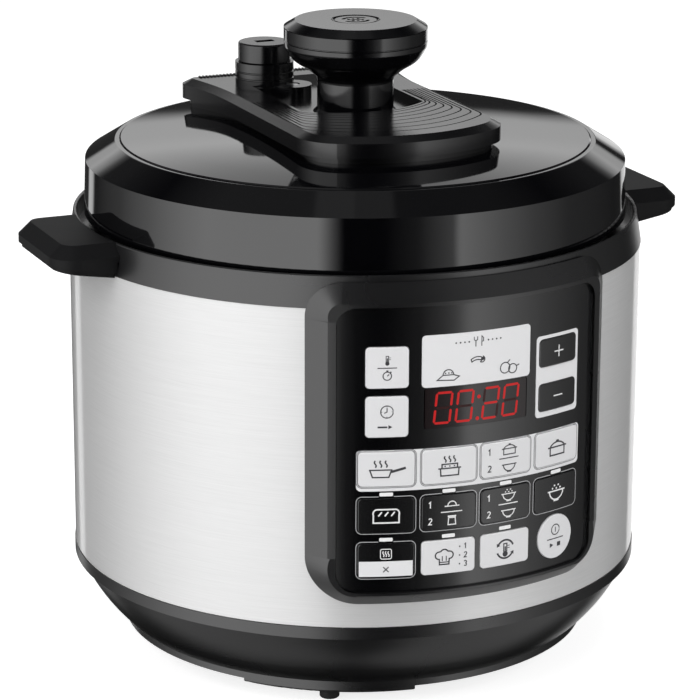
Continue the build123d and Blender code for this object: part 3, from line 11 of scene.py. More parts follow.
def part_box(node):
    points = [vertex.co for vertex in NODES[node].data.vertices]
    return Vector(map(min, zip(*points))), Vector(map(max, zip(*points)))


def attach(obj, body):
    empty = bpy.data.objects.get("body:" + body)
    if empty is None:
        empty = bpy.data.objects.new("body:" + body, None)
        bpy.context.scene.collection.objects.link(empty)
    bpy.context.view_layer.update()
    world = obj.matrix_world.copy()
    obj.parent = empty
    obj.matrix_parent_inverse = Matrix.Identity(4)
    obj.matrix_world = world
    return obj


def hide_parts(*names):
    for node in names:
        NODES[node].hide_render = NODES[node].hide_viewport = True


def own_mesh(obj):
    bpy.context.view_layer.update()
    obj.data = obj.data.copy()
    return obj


bl_info = {
    "name": "Pressure cooker finish",
    "version": (1, 0, 0),
    "blender": (4, 5, 0),
    "location": "3D View > Sidebar > Cooker",
    "description": "Gives the packed pressure cooker its finishes, key prints and small fittings",
    "category": "Object",
}

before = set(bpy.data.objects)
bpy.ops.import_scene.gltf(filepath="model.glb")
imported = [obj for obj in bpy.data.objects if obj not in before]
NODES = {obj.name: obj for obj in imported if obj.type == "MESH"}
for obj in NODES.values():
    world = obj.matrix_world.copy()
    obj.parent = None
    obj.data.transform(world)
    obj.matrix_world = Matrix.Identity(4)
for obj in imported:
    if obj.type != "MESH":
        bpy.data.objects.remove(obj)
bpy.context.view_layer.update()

MM = 0.001
FULL_TURN = 2.0 * math.pi
# How far behind a key's outermost points its face still counts
FACE_DEPTH = 0.3 * MM


def radius_of(name):
    """Largest distance of a node's points from the upright axis."""
    return max(math.hypot(v.co.x, v.co.y) for v in NODES[name].data.vertices)


def key_face(name):
    """Angle to the right of the front, height, width along the curve and tallness of a key's face."""
    radius = radius_of(name)
    face = [v.co for v in NODES[name].data.vertices if math.hypot(v.co.x, v.co.y) > radius - FACE_DEPTH]
    angles = [math.atan2(p.x, -p.y) for p in face]
    heights = [p.z for p in face]
    left, right, bottom, top = min(angles), max(angles), min(heights), max(heights)
    return (left + right) / 2, (bottom + top) / 2, (right - left) * radius, top - bottom


# ---------------------------------------------------------------- sizes and colours a user may change


def colour_setting(name, text, colour):
    """A colour with its own picker."""
    return FloatVectorProperty(
        name=name, description=text, subtype="COLOR", size=3, min=0.0, max=1.0, default=colour,
    )


def length_setting(name, text, low, high, length):
    """A small length, kept in metres."""
    return FloatProperty(
        name=name, description=text, unit="LENGTH", subtype="DISTANCE", min=low, max=high, default=length,
        precision=5,
    )


class CookerBodySettings(bpy.types.PropertyGroup):
    """Plastics and metals of the body and the lid."""

    satin_colour: colour_setting(
        "Satin plastic", "Colour of the base, collar and handles", (0.0045, 0.0045, 0.005)
    )
    gloss_colour: colour_setting(
        "Gloss plastic", "Colour of the lid, bridge, knob and panel", (0.0015, 0.0015, 0.002)
    )
    steel_colour: colour_setting("Steel", "Colour of the brushed sleeve", (0.90, 0.90, 0.90))
    black_mirror: FloatProperty(
        name="Black mirror", description="Refractive index that sets how much the black plastics mirror",
        min=1.3, max=3.0, default=2.2,
    )
    brush_depth: FloatProperty(
        name="Brushing", description="How deep the brush lines of the sleeve look",
        min=0.0, max=1.0, default=0.14,
    )
    grain_pitch: length_setting("Grain", "Size of the moulded grain", 0.0002, 0.005, 0.0007)


class CookerPanelSettings(bpy.types.PropertyGroup):
    """Prints and colours of the control panel."""

    key_colour: colour_setting("Pale keys", "Colour of the pale keys", (0.72, 0.72, 0.73))
    ink_colour: colour_setting("Dark ink", "Colour of prints on pale keys", (0.045, 0.045, 0.05))
    digit_colour: colour_setting("Digits", "Colour of the lit digits", (0.62, 0.012, 0.012))
    rest_colour: colour_setting(
        "Resting bars", "Colour of the digit bars that are off", (0.030, 0.005, 0.005)
    )
    line_width: length_setting("Line", "Width of the printed lines", 0.0001, 0.002, 0.00052)
    print_height: length_setting(
        "Print height", "How far a print stands off its surface", 0.00001, 0.0003, 0.00005
    )


class CookerFittingSettings(bpy.types.PropertyGroup):
    """Repeated small fittings."""

    rib_count: IntProperty(
        name="Ribs", description="Ribs along the bridge's back edge", min=3, max=80, default=52,
    )
    vent_rings: IntProperty(
        name="Vent rings", description="Rings of vent louvres under the base", min=1, max=4, default=3,
    )
    mark_count: IntProperty(
        name="Level marks", description="Level marks in the pot", min=2, max=12, default=6,
    )


class CookerStageSettings(bpy.types.PropertyGroup):
    """Camera, lamps and floor."""

    view_angle: FloatProperty(
        name="View angle", description="Angle of the camera round the cooker", subtype="ANGLE",
        default=math.radians(-23.4),
    )
    view_elevation: FloatProperty(
        name="Elevation", description="Height angle of the camera", subtype="ANGLE",
        default=math.radians(16.36),
    )
    view_distance: FloatProperty(
        name="Distance", description="Distance from the camera to the cooker", unit="LENGTH", default=1.65,
    )
    lens: FloatProperty(name="Lens", description="Focal length in millimetres", default=164.57)
    lamp_strength: FloatProperty(
        name="Lamps", description="Strength of all lamps", min=0.0, max=10.0, default=1.0,
    )


# ---------------------------------------------------------------- node trees

FLOAT = "NodeSocketFloat"
GEOMETRY = "NodeSocketGeometry"
WHITE = (1.0, 1.0, 1.0, 1.0)


def feed(tree, node, inputs):
    """Set a node's inputs, by name or number; a value that is a socket is linked."""
    for label, value in inputs.items():
        if isinstance(value, bpy.types.NodeSocket):
            tree.links.new(value, node.inputs[label])
        else:
            node.inputs[label].default_value = value


def add_node(tree, kind, place, inputs=None, **fields):
    """Add one node with its fields and inputs."""
    made = tree.nodes.new(kind)
    made.location = place
    for field, value in fields.items():
        setattr(made, field, value)
    feed(tree, made, inputs or {})
    return made


def maths(tree, operation, place, *values):
    """The result of a math node; the values are numbers or sockets."""
    return add_node(tree, "ShaderNodeMath", place, dict(enumerate(values)), operation=operation).outputs[0]


def noise(tree, vector, place, scale, detail, **inputs):
    """A noise texture read at a vector."""
    inputs = {"Vector": vector, "Scale": scale, "Detail": detail, **inputs}
    return add_node(tree, "ShaderNodeTexNoise", place, inputs).outputs["Fac"]


def new_group(kind, name, inputs, outputs):
    """An empty node group with its sockets, and the sockets inside it at both ends."""
    tree = bpy.data.node_groups.new(name, kind)
    for label, socket_type, default in inputs:
        socket = tree.interface.new_socket(name=label, in_out="INPUT", socket_type=socket_type)
        if default is not None:
            socket.default_value = default
    for label, socket_type in outputs:
        tree.interface.new_socket(name=label, in_out="OUTPUT", socket_type=socket_type)
    source = add_node(tree, "NodeGroupInput", (-900, 0))
    target = add_node(tree, "NodeGroupOutput", (900, 0))
    return tree, source.outputs, target.inputs


# ---------------------------------------------------------------- shader groups


def pattern_group(name, low, high, outputs, extra=()):
    """An empty shader group that takes a vector and a shine range."""
    inputs = [
        ("Vector", "NodeSocketVector", None), *extra, ("Shine low", FLOAT, low), ("Shine high", FLOAT, high),
    ]
    return new_group("ShaderNodeTree", name, inputs, [(label, FLOAT) for label in outputs])


def put_out(tree, source, target, shine, **results):
    """Put out the results and, stretched to the group's range, the shine."""
    mapped = add_node(
        tree, "ShaderNodeMapRange", (100, -150),
        {"Value": shine, "To Min": source["Shine low"], "To Max": source["Shine high"]},
    )
    for label, value in {"Shine": mapped.outputs["Result"], **results}.items():
        tree.links.new(value, target[label])


def moulded_grain_group():
    """Fine grain of moulded plastic, with slow changes in its shine."""
    tree, source, target = pattern_group(
        "moulded grain", 0.3, 0.4, ("Height", "Shine", "Tone"), [("Density", FLOAT, 1400.0)]
    )
    fine = add_node(
        tree, "ShaderNodeVectorMath", (-700, 100), {0: source["Vector"], "Scale": source["Density"]},
        operation="SCALE",
    ).outputs[0]
    cells = add_node(
        tree, "ShaderNodeTexVoronoi", (-500, 200), {"Vector": fine, "Scale": 1.0}, feature="SMOOTH_F1"
    )
    speckle = noise(tree, fine, (-500, -60), 0.6, 3.0)
    both = maths(tree, "ADD", (-260, 120), cells.outputs["Distance"], speckle)
    slow = noise(tree, source["Vector"], (-500, -300), 14.0, 2.0)
    put_out(tree, source, target, slow, Height=both, Tone=speckle)
    return tree


# Layers of brush lines: scale along the lines, scale across them, share in the sum
BRUSH_LAYERS = ((22.0, 5200.0, 0.65), (48.0, 2100.0, 0.35))


def brush_lines_group():
    """Long fine scratches that run level round a drum."""
    tree, source, target = pattern_group("brush lines", 0.2, 0.4, ("Height", "Shine", "Tone"))
    total = 0.0
    for index, (along, across, share) in enumerate(BRUSH_LAYERS):
        level = 200 - 300 * index
        stretch = add_node(
            tree, "ShaderNodeVectorMath", (-700, level), {0: source["Vector"], 1: (along, along, across)},
            operation="MULTIPLY",
        )
        lines = noise(tree, stretch.outputs[0], (-500, level), 1.0, 4.0, Roughness=0.6)
        total = maths(tree, "MULTIPLY_ADD", (-260, level), lines, share, total)
    put_out(tree, source, target, total, Height=total, Tone=total)
    return tree


def faint_haze_group():
    """Barely visible haze and wipe marks on polished plastic."""
    tree, source, target = pattern_group("faint haze", 0.04, 0.09, ("Height", "Shine"))
    wipes = noise(tree, source["Vector"], (-500, 100), 9.0, 5.0, Distortion=0.6)
    ripples = noise(tree, source["Vector"], (-500, -160), 30.0, 1.0)
    put_out(tree, source, target, wipes, Height=ripples)
    return tree


GROUP_MAKERS = {
    "moulded grain": moulded_grain_group,
    "brush lines": brush_lines_group,
    "faint haze": faint_haze_group,
}


def shader_group(name):
    """The named group, built the first time that it is asked for."""
    return bpy.data.node_groups.get(name) or GROUP_MAKERS[name]()


# ---------------------------------------------------------------- materials


# Height of the relief that the patterns stand for
RELIEF = 0.1 * MM


def new_material(name, colour, group, bump, values, sockets):
    """A Principled material whose shine and bump come from one of the shader groups."""
    material = bpy.data.materials.new(name)
    material.use_nodes = True
    material.diffuse_color = (*colour, 1.0)
    tree = material.node_tree
    place = add_node(tree, "ShaderNodeTexCoord", (-900, 0))
    pattern = add_node(tree, "ShaderNodeGroup", (-600, 0), node_tree=shader_group(group))
    feed(tree, pattern, {"Vector": place.outputs["Object"], **values})
    relief = add_node(
        tree, "ShaderNodeBump", (-300, -300),
        {"Strength": bump, "Distance": RELIEF, "Height": pattern.outputs["Height"]},
    )
    feed(tree, tree.nodes["Principled BSDF"], {
        "Base Color": (*colour, 1.0), "Roughness": pattern.outputs["Shine"],
        "Normal": relief.outputs["Normal"], **sockets,
    })
    return material


def tint_by_tone(material, colour, swing):
    """Let the colour follow the pattern's tone a little."""
    tree = material.node_tree
    pattern = next(n for n in tree.nodes if n.type == "GROUP")
    ramp = add_node(tree, "ShaderNodeValToRGB", (-300, 200), {"Fac": pattern.outputs["Tone"]})
    for element, position, sign in zip(ramp.color_ramp.elements, (0.35, 0.65), (-1.0, 1.0)):
        element.position = position
        element.color = (*[min(1.0, c * (1.0 + sign * swing)) for c in colour], 1.0)
    feed(tree, tree.nodes["Principled BSDF"], {"Base Color": ramp.outputs["Color"]})


def black_plastics():
    """Black plastics: colour, shader group, bump, lowest and highest roughness, refractive index."""
    body = bpy.context.scene.cooker_body
    satin, gloss = tuple(body.satin_colour), tuple(body.gloss_colour)
    mirror = body.black_mirror
    for name, colour, group, bump, low, high, index in (
        ("satin black plastic", satin, "moulded grain", 0.12, 0.24, 0.32, mirror),
        ("dull black plastic", satin, "moulded grain", 0.2, 0.5, 0.62, 1.4),
        ("polished black plastic", gloss, "faint haze", 0.02, 0.03, 0.07, mirror),
        ("bridge black plastic", gloss, "faint haze", 0.03, 0.17, 0.22, 2.0),
        ("knob black plastic", gloss, "faint haze", 0.03, 0.1, 0.15, 2.0),
        ("panel black", gloss, "faint haze", 0.015, 0.14, 0.2, mirror),
    ):
        values = {"Shine low": low, "Shine high": high}
        if group == "moulded grain":
            values["Density"] = 1.0 / body.grain_pitch
        new_material(name, colour, group, bump, values, {"IOR": index})


# How far the colour of the metals swings with their brush lines, and how brightly the digits glow
SLEEVE_SWING = 0.045
METAL_SWING = 0.05
DIGIT_GLOW = 0.55


def sleeve_steel():
    """Level-brushed steel of the sleeve."""
    body = bpy.context.scene.cooker_body
    colour = tuple(body.steel_colour)
    material = new_material(
        "brushed steel", colour, "brush lines", body.brush_depth,
        {"Shine low": 0.40, "Shine high": 0.48},
        {
            "Metallic": 0.5, "Anisotropic": 0.5, "Anisotropic Rotation": 0.25,
            "Coat Weight": 0.8, "Coat Roughness": 0.06,
        },
    )
    tint_by_tone(material, colour, SLEEVE_SWING)
    tree = material.node_tree
    tangent = add_node(tree, "ShaderNodeTangent", (-300, -520), direction_type="RADIAL", axis="Z")
    feed(tree, tree.nodes["Principled BSDF"], {"Tangent": tangent.outputs["Tangent"]})


def metal(name, colour, low, high, bump=0.1):
    """A plain satin metal."""
    material = new_material(
        name, colour, "brush lines", bump, {"Shine low": low, "Shine high": high}, {"Metallic": 1.0}
    )
    tint_by_tone(material, colour, METAL_SWING)


def plastic(name, colour, low, high, bump=0.08, **sockets):
    """A plain moulded plastic or rubber."""
    return new_material(
        name, colour, "moulded grain", bump, {"Shine low": low, "Shine high": high},
        {label.replace("_", " "): value for label, value in sockets.items()},
    )


def lit_digits():
    """Glowing red of the digits."""
    colour = tuple(bpy.context.scene.cooker_panel.digit_colour)
    material = plastic("lit red", tuple(c * 0.3 for c in colour), 0.3, 0.4, bump=0.0)
    tree = material.node_tree
    glow = {"Emission Color": (*colour, 1.0), "Emission Strength": DIGIT_GLOW}
    feed(tree, tree.nodes["Principled BSDF"], glow)


def make_finishes():
    """Every finish of the cooker, by name."""
    panel = bpy.context.scene.cooker_panel
    mirror = bpy.context.scene.cooker_body.black_mirror
    black_plastics()
    sleeve_steel()
    lit_digits()
    inks = {
        "dark ink": tuple(panel.ink_colour), "pale ink": (0.78, 0.78, 0.78), "grey ink": (0.20, 0.20, 0.21),
        "line grey ink": (0.42, 0.42, 0.43),
    }
    for name, colour in inks.items():
        plastic(name, colour, 0.45, 0.55, bump=0.0)
    metal("drawn steel", (0.62, 0.62, 0.63), 0.22, 0.34)
    metal("cast aluminium", (0.56, 0.56, 0.57), 0.4, 0.55, bump=0.25)
    metal("heater steel", (0.33, 0.31, 0.30), 0.35, 0.5)
    metal("zinc plate", (0.60, 0.60, 0.62), 0.2, 0.3)
    plastic("pot coating", (0.035, 0.035, 0.038), 0.35, 0.5, bump=0.2, Metallic=0.3)
    plastic("pale key plastic", tuple(panel.key_colour), 0.3, 0.4)
    plastic("dark key plastic", (0.003, 0.003, 0.0035), 0.2, 0.28, IOR=mirror)
    plastic("pale inlay", (0.76, 0.76, 0.77), 0.32, 0.42)
    plastic("mark black", (0.002, 0.002, 0.002), 0.7, 0.8, bump=0.0, IOR=1.2)
    plastic("foot rubber", (0.012, 0.012, 0.012), 0.6, 0.75, bump=0.3)
    plastic("silicone", (0.55, 0.55, 0.53), 0.45, 0.55, bump=0.1)
    plastic("resting bars", tuple(panel.rest_colour), 0.3, 0.4, bump=0.0)
    plastic("smoked window", (0.007, 0.003, 0.0035), 0.1, 0.14, bump=0.0, IOR=mirror * 0.85)
    plastic("display black", (0.004, 0.004, 0.0045), 0.3, 0.4)
    plastic("frosted window", (0.86, 0.86, 0.86), 0.35, 0.45)
    plastic("board green", (0.015, 0.11, 0.045), 0.35, 0.5)
    plastic("cup plastic", (0.02, 0.02, 0.022), 0.16, 0.22)


def paint(name, finish):
    """Give a CAD node one of the finishes."""
    data = NODES[name].data
    data.materials.clear()
    data.materials.append(bpy.data.materials[finish])


FINISH_OF = {
    "satin black plastic": [
        "base_shell", "bottom_plate", "foot_pads", "top_collar", "pressure_switch", "control_bezel",
        "control_housing", "power_inlet",
    ],
    "dull black plastic": ["handle_right", "handle_left", "handle_covers"],
    "polished black plastic": ["lid_shell", "lid_top_disc"],
    "bridge black plastic": ["lid_bridge", "valve_guard", "valve_cap"],
    "knob black plastic": ["knob_body", "knob_cap"],
    "panel black": ["control_panel"],
    "brushed steel": ["steel_sleeve"],
    "drawn steel": [
        "outer_vessel", "heat_shield", "temperature_sensor", "sensor_spring", "lid_pressure_cover",
        "liner_plate", "float_valve",
    ],
    "cast aluminium": ["heater_plate"],
    "heater steel": ["heater_tube", "thermal_fuse"],
    "zinc plate": ["body_screws", "lid_screws"],
    "pot coating": ["inner_pot"],
    "pale inlay": ["menu_inlays"],
    "foot rubber": ["rubber_feet"],
    "silicone": ["gasket", "liner_nut", "key_mat"],
    "smoked window": ["display_lens"],
    "display black": ["display_module"],
    "frosted window": ["indicator_lenses"],
    "board green": ["power_board", "control_board"],
    "cup plastic": ["condensate_cup"],
    "dark key plastic": [
        "key_plus", "key_minus", "key_row2_1", "key_row2_2", "key_row2_3", "key_row2_4", "key_row3_1",
    ],
    "pale key plastic": [
        "key_row1_1", "key_row1_2", "key_row1_3", "key_row1_4", "key_row3_2", "key_row3_3", "key_start",
        "key_temperature", "key_delay",
    ],
}


# ---------------------------------------------------------------- flat drawing, wrapped on the panel


def circle_points(centre, radius, start=0.0, stop=FULL_TURN, count=28):
    """Points along a circle or an arc."""
    return [
        (
            centre[0] + radius * math.cos(start + (stop - start) * i / count),
            centre[1] + radius * math.sin(start + (stop - start) * i / count),
        )
        for i in range(count + 1)
    ]


def arc(u, v, radius, start, stop, count):
    """Points along an arc between two angles in degrees."""
    return circle_points((u, v), radius, math.radians(start), math.radians(stop), count)


def rounded_points(width, height, corner, count=6):
    """Outline of a rounded rectangle, from the middle of its top edge round to the left."""
    points = [(0.0, height / 2)]
    for sx, sy, start in ((-1, 1, 0.25), (-1, -1, 0.5), (1, -1, 0.75), (1, 1, 0.0)):
        centre = (sx * (width / 2 - corner), sy * (height / 2 - corner))
        first = start * FULL_TURN
        points += circle_points(centre, corner, first, first + FULL_TURN / 4, count)
    return points


# Longest straight part of a print, in millimetres, so that it can follow a curved face
CURVE_STEP = 1.6
# Least share of a corner's mitre, which keeps sharp corners from growing spikes
MITRE_LIMIT = 0.4


def fine_line(points, closed):
    """The same line, with more points."""
    ends = points[1:] + points[:1] if closed else points[1:]
    fine = []
    for (u0, v0), (u1, v1) in zip(points, ends):
        parts = max(1, math.ceil(abs(u1 - u0) / CURVE_STEP))
        fine += [(u0 + (u1 - u0) * i / parts, v0 + (v1 - v0) * i / parts) for i in range(parts)]
    return fine if closed else fine + [points[-1]]


def ribbon(points, width, closed=False):
    """Quads that follow a line with mitred corners."""
    if closed and points[0] == points[-1]:
        points = points[:-1]
    flat = [Vector(p) for p in fine_line(points, closed)]
    count = len(flat)
    sides = []
    for i, point in enumerate(flat):
        before = flat[i - 1] if closed or i > 0 else point
        after = flat[(i + 1) % count] if closed or i < count - 1 else point
        run_in = (point - before).normalized()
        run_out = (after - point).normalized()
        along = (run_in + run_out).normalized()
        normal = Vector((-along.y, along.x))
        edge = Vector((-run_out.y, run_out.x)) if run_out.length else Vector((-run_in.y, run_in.x))
        stretch = 1.0 / max(MITRE_LIMIT, abs(normal.dot(edge)))
        offset = normal * (width / 2 * stretch)
        sides.append((tuple(point + offset), tuple(point - offset)))
    last = count if closed else count - 1
    return [
        [sides[i][1], sides[(i + 1) % count][1], sides[(i + 1) % count][0], sides[i][0]] for i in range(last)
    ]


def strokes(line, *paths):
    """Open lines of one width."""
    return [shape for path in paths for shape in ribbon(path, line)]


def ring(u, v, radius, count, line):
    """A printed ring."""
    return ribbon(circle_points((u, v), radius, count=count), line, closed=True)


def wedge_fan(points):
    """Triangles from the middle of a convex outline."""
    centre = (sum(p[0] for p in points) / len(points), sum(p[1] for p in points) / len(points))
    return [[centre, points[i], points[(i + 1) % len(points)]] for i in range(len(points))]


def dots(spots, radius, count=8):
    """Filled dots of one size."""
    return [shape for spot in spots for shape in wedge_fan(circle_points(spot, radius, count=count)[:-1])]


def bar(u0, u1, v0, v1):
    """A filled rectangle, split so that it can follow a curve."""
    columns = max(1, math.ceil((u1 - u0) / CURVE_STEP))
    step = (u1 - u0) / columns
    return [
        [(u0 + i * step, v0), (u0 + (i + 1) * step, v0), (u0 + (i + 1) * step, v1), (u0 + i * step, v1)]
        for i in range(columns)
    ]


def moved(shapes, du, dv, size=1.0):
    """Shift and scale a list of shapes."""
    return [[(du + u * size, dv + v * size) for u, v in shape] for shape in shapes]


def prism_mesh(name, shapes, corner_place):
    """Thin closed prisms from flat shapes; corner_place puts a corner on the low (-1) or high (1) side."""
    mesh = bmesh.new()
    for shape in shapes:
        count = len(shape)
        area = sum(
            shape[i][0] * shape[(i + 1) % count][1] - shape[(i + 1) % count][0] * shape[i][1]
            for i in range(count)
        )
        corners = shape if area > 0 else shape[::-1]
        low, high = ([mesh.verts.new(corner_place(u, v, side)) for u, v in corners] for side in (-1, 1))
        mesh.faces.new(high)
        mesh.faces.new(low[::-1])
        for i in range(count):
            j = (i + 1) % count
            mesh.faces.new((low[i], low[j], high[j], high[i]))
    return finish_mesh(name, mesh)


def wrapped_mesh(name, shapes, angle, height, radius, thickness):
    """Prisms that lie on an upright cylinder, from shapes in millimetres."""

    def corner_place(u, v, side):
        """A corner on the cylinder."""
        a = angle + u * MM / radius
        level = radius + side * thickness
        return level * math.sin(a), -level * math.cos(a), height + v * MM

    return prism_mesh(name, shapes, corner_place)


def flat_mesh(name, shapes, place, thickness):
    """Prisms that lie level at a place, from shapes in millimetres."""

    def corner_place(u, v, side):
        """A corner on the level plane."""
        return place.x + u * MM, place.y + v * MM, place.z + side * thickness

    return prism_mesh(name, shapes, corner_place)


def finish_mesh(name, mesh):
    """Turn a bmesh into a linked object."""
    data = bpy.data.meshes.new(name)
    mesh.to_mesh(data)
    mesh.free()
    piece = bpy.data.objects.new(name, data)
    bpy.context.scene.collection.objects.link(piece)
    return piece


def place_piece(piece, finish, body):
    """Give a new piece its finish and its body."""
    piece.data.materials.clear()
    piece.data.materials.append(bpy.data.materials[finish])
    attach(piece, body)


def print_on(name, shapes, surface, angle, height, finish, body, slot, layer=0):
    """A print on a node's curved face; layer 1 lies on top of layer 0."""
    thick = bpy.context.scene.cooker_panel.print_height
    piece = wrapped_mesh(name, shapes, angle, height, radius_of(surface) + layer * thick, thick)
    place_piece(piece, finish, body)


# ---------------------------------------------------------------- pictograms, in millimetres


def numeral(digit, u, v, size, line):
    """A plain numeral from 1 to 3, drawn with lines."""
    half = size / 2
    quarter = size / 4
    paths = {
        1: [[(-0.25 * size, 0.28 * size), (0.0, half), (0.0, -half)]],
        2: [arc(0.0, quarter, quarter, 160, -35, 10) + [(-quarter, -half), (quarter + 0.1, -half)]],
        3: [arc(0.0, quarter, quarter, 150, -90, 10), arc(0.0, -quarter, quarter, 90, -150, 10)],
    }
    return moved(strokes(line, *paths[digit]), u, v)


def wave(length, swing, line):
    """An upright wavy line of rising steam."""
    path = [(swing * math.sin(FULL_TURN * i / 12), length * (i / 12 - 0.5)) for i in range(13)]
    return ribbon(path, line)


def waves(columns, level, length, swing, line):
    """Wavy lines side by side."""
    return [shape for u in columns for shape in moved(wave(length, swing, line), u, level)]


def frying_pan(line):
    """A pan seen from the side, with heat above it."""
    shapes = strokes(line, [(-4.6, 0.6), (-3.6, -2.2), (2.4, -2.2), (3.4, 0.6)], [(-4.9, 0.6), (3.7, 0.6)])
    shapes += ribbon([(3.2, -0.2), (8.6, 1.2)], line * 1.8)
    return shapes + waves((-2.6, -0.6, 1.4), 2.9, 2.6, 0.35, line)


def steamer(line):
    """A pot with a steam basket on top."""
    shapes = strokes(
        line, [(-3.6, -0.6), (-3.4, -3.4), (3.4, -3.4), (3.6, -0.6)], [(-4.4, -0.6), (4.4, -0.6)],
        [(-3.0, -0.6), (-3.0, 1.0), (3.0, 1.0), (3.0, -0.6)],
    )
    columns = (-1.8, 0.0, 1.8)
    shapes += waves(columns, 2.9, 2.4, 0.35, line)
    for u in columns:
        shapes += moved(bar(-0.25, 0.25, -0.25, 0.25), u, 0.2)
    return shapes


def stew_pot(line):
    """A low pot with a lid and two ears."""
    shapes = strokes(
        line, [(-3.2, 0.6), (-3.2, -2.2), (3.2, -2.2), (3.2, 0.6)], [(-4.2, 0.6), (4.2, 0.6)],
        arc(0.0, -1.9, 4.2, 37, 143, 12),
    )
    return shapes + bar(-0.6, 0.6, 2.4, 3.0)


def bowl(line):
    """A round bowl with a foot."""
    rim, foot = [(-4.0, 0.9), (4.0, 0.9)], [(-1.2, -2.6), (1.2, -2.6)]
    return strokes(line, arc(0.0, 0.9, 3.2, 180, 360, 14), rim, foot)


def grain_bowl(line):
    """A bowl heaped with grains."""
    return bowl(line) + dots(((-1.8, 1.9), (0.0, 1.8), (1.8, 1.9), (-0.9, 2.9), (0.9, 2.9)), 0.36)


def loaf(line):
    """A loaf with three cuts."""
    outline = [(-4.4, -2.4), (-4.4, 0.4)] + arc(-3.0, 0.9, 1.5, 190, 80, 6)
    outline += arc(3.0, 0.9, 1.5, 100, -10, 6) + [(4.4, 0.4), (4.4, -2.4)]
    cuts = [[(u - 0.7, 0.0), (u + 0.5, 1.5)] for u in (-2.0, 0.2, 2.4)]
    return ribbon(outline, line, closed=True) + strokes(line, *cuts)


def jar(line):
    """A small jar with a lid."""
    shapes = ribbon([(-1.6, 1.2), (-1.9, -2.2), (1.9, -2.2), (1.6, 1.2)], line, closed=True)
    return shapes + ribbon([(-2.1, 1.9), (2.1, 1.9)], line * 1.4)


def dough(line):
    """A ball of dough on a board."""
    return strokes(line, arc(0.0, -1.0, 2.1, 0, 180, 14), [(-3.6, -1.2), (3.6, -1.2)])


def heat_square(line):
    """Three heat waves in a rounded square."""
    outline = ribbon(rounded_points(6.4, 6.0, 1.0), line, closed=True)
    return outline + waves((-1.5, 0.0, 1.5), 0.0, 3.4, 0.35, line * 1.2)


def chef_hat(line):
    """A cook's hat."""
    outline = [(-1.9, -2.8), (-2.0, -0.6)] + arc(-2.1, 0.9, 1.5, 260, 90, 8)
    outline += arc(0.0, 1.7, 1.6, 150, 30, 8) + arc(2.1, 0.9, 1.5, 90, -80, 8) + [(2.0, -0.6), (1.9, -2.8)]
    shapes = ribbon(outline, line, closed=True) + ribbon([(-1.9, -1.9), (1.9, -1.9)], line * 0.8)
    return shapes + strokes(line * 0.7, *[[(u, -1.4), (u, 0.6)] for u in (-0.8, 0.8)])


def thermometer(line):
    """A thermometer with its bulb."""
    shapes = ribbon([(-0.6, -0.6), (-0.6, 2.2), (0.6, 2.2), (0.6, -0.6)], line * 0.8)
    shapes += dots([(0.0, -1.4)], 1.0, 14) + bar(-0.25, 0.25, -1.0, 1.2)
    for v in (0.6, 1.4):
        shapes += bar(0.9, 1.7, v - 0.12, v + 0.12)
    return shapes


def stopwatch(line):
    """A stopwatch with one hand."""
    shapes = ring(0.0, 0.0, 2.0, 22, line) + bar(-0.5, 0.5, 2.2, 2.8)
    return shapes + ribbon([(1.5, 1.7), (1.9, 2.1)], line * 1.4) + ribbon([(0.0, 0.0), (0.9, 0.9)], line)


def clock(line):
    """A clock face with two hands and quarter marks."""
    shapes = ring(0.0, 0.0, 3.0, 26, line) + ribbon([(0.0, 1.9), (0.0, 0.0), (-1.3, -0.6)], line)
    for across, up in ((1, 0), (0, 1), (-1, 0), (0, -1)):
        shapes += ribbon([(2.3 * across, 2.3 * up), (2.7 * across, 2.7 * up)], line * 0.8)
    return shapes


def turning_arrows(line, radius=3.2):
    """Two arrows that chase each other round."""
    shapes = []
    for start in (20.0, 200.0):
        stop = start + 125.0
        path = arc(0.0, 0.0, radius, start, stop, 14)
        shapes += ribbon(path, line * 1.2)
        tip = Vector(path[-1])
        along = Vector((-math.sin(math.radians(stop)), math.cos(math.radians(stop))))
        side = Vector((-along.y, along.x))
        shapes.append([tuple(tip + along * 1.1), tuple(tip + side * 0.8), tuple(tip - side * 0.8)])
    return shapes


def start_mark(line):
    """An upright stroke in a ring."""
    return ring(0.0, 0.0, 2.6, 26, line) + bar(-0.25, 0.25, -1.3, 1.3)


def small_triangle():
    """Start sign."""
    return [[(-1.0, -1.1), (1.1, 0.0), (-1.0, 1.1)]]


def small_cross(line):
    """Cancel sign."""
    return strokes(line, [(-1.3, -1.3), (1.3, 1.3)], [(-1.3, 1.3), (1.3, -1.3)])


def chilli(line):
    """A curved pepper."""
    outline = arc(0.0, -3.4, 4.4, 130, 52, 10) + arc(1.9, -0.2, 1.25, 60, -120, 8)
    outline += arc(0.0, -4.4, 4.2, 66, 126, 8)
    return ribbon(outline, line, closed=True) + dots([(2.2, 0.0)], 0.75, 10)


def greens(line):
    """A cut root and leaves."""
    root = [(-4.0, -1.5), (-1.6, 0.4), (2.8, 0.4), (5.2, -0.4), (3.0, -1.9), (-1.6, -1.6)]
    shapes = ribbon(arc(0.6, 0.4, 2.2, 0, 180, 14), line) + ribbon(root, line, closed=True)
    return shapes + dots([(u, 1.2) for u in (-0.6, 0.8, 2.0)], 0.3)


def tomatoes(line):
    """Two round fruits with stalks."""
    shapes = ring(-1.4, 0.3, 2.2, 20, line) + ring(2.1, -0.4, 1.9, 20, line)
    return shapes + strokes(line, [(-0.4, 2.3), (0.8, 3.4)], [(3.8, 0.4), (5.2, 0.9)])


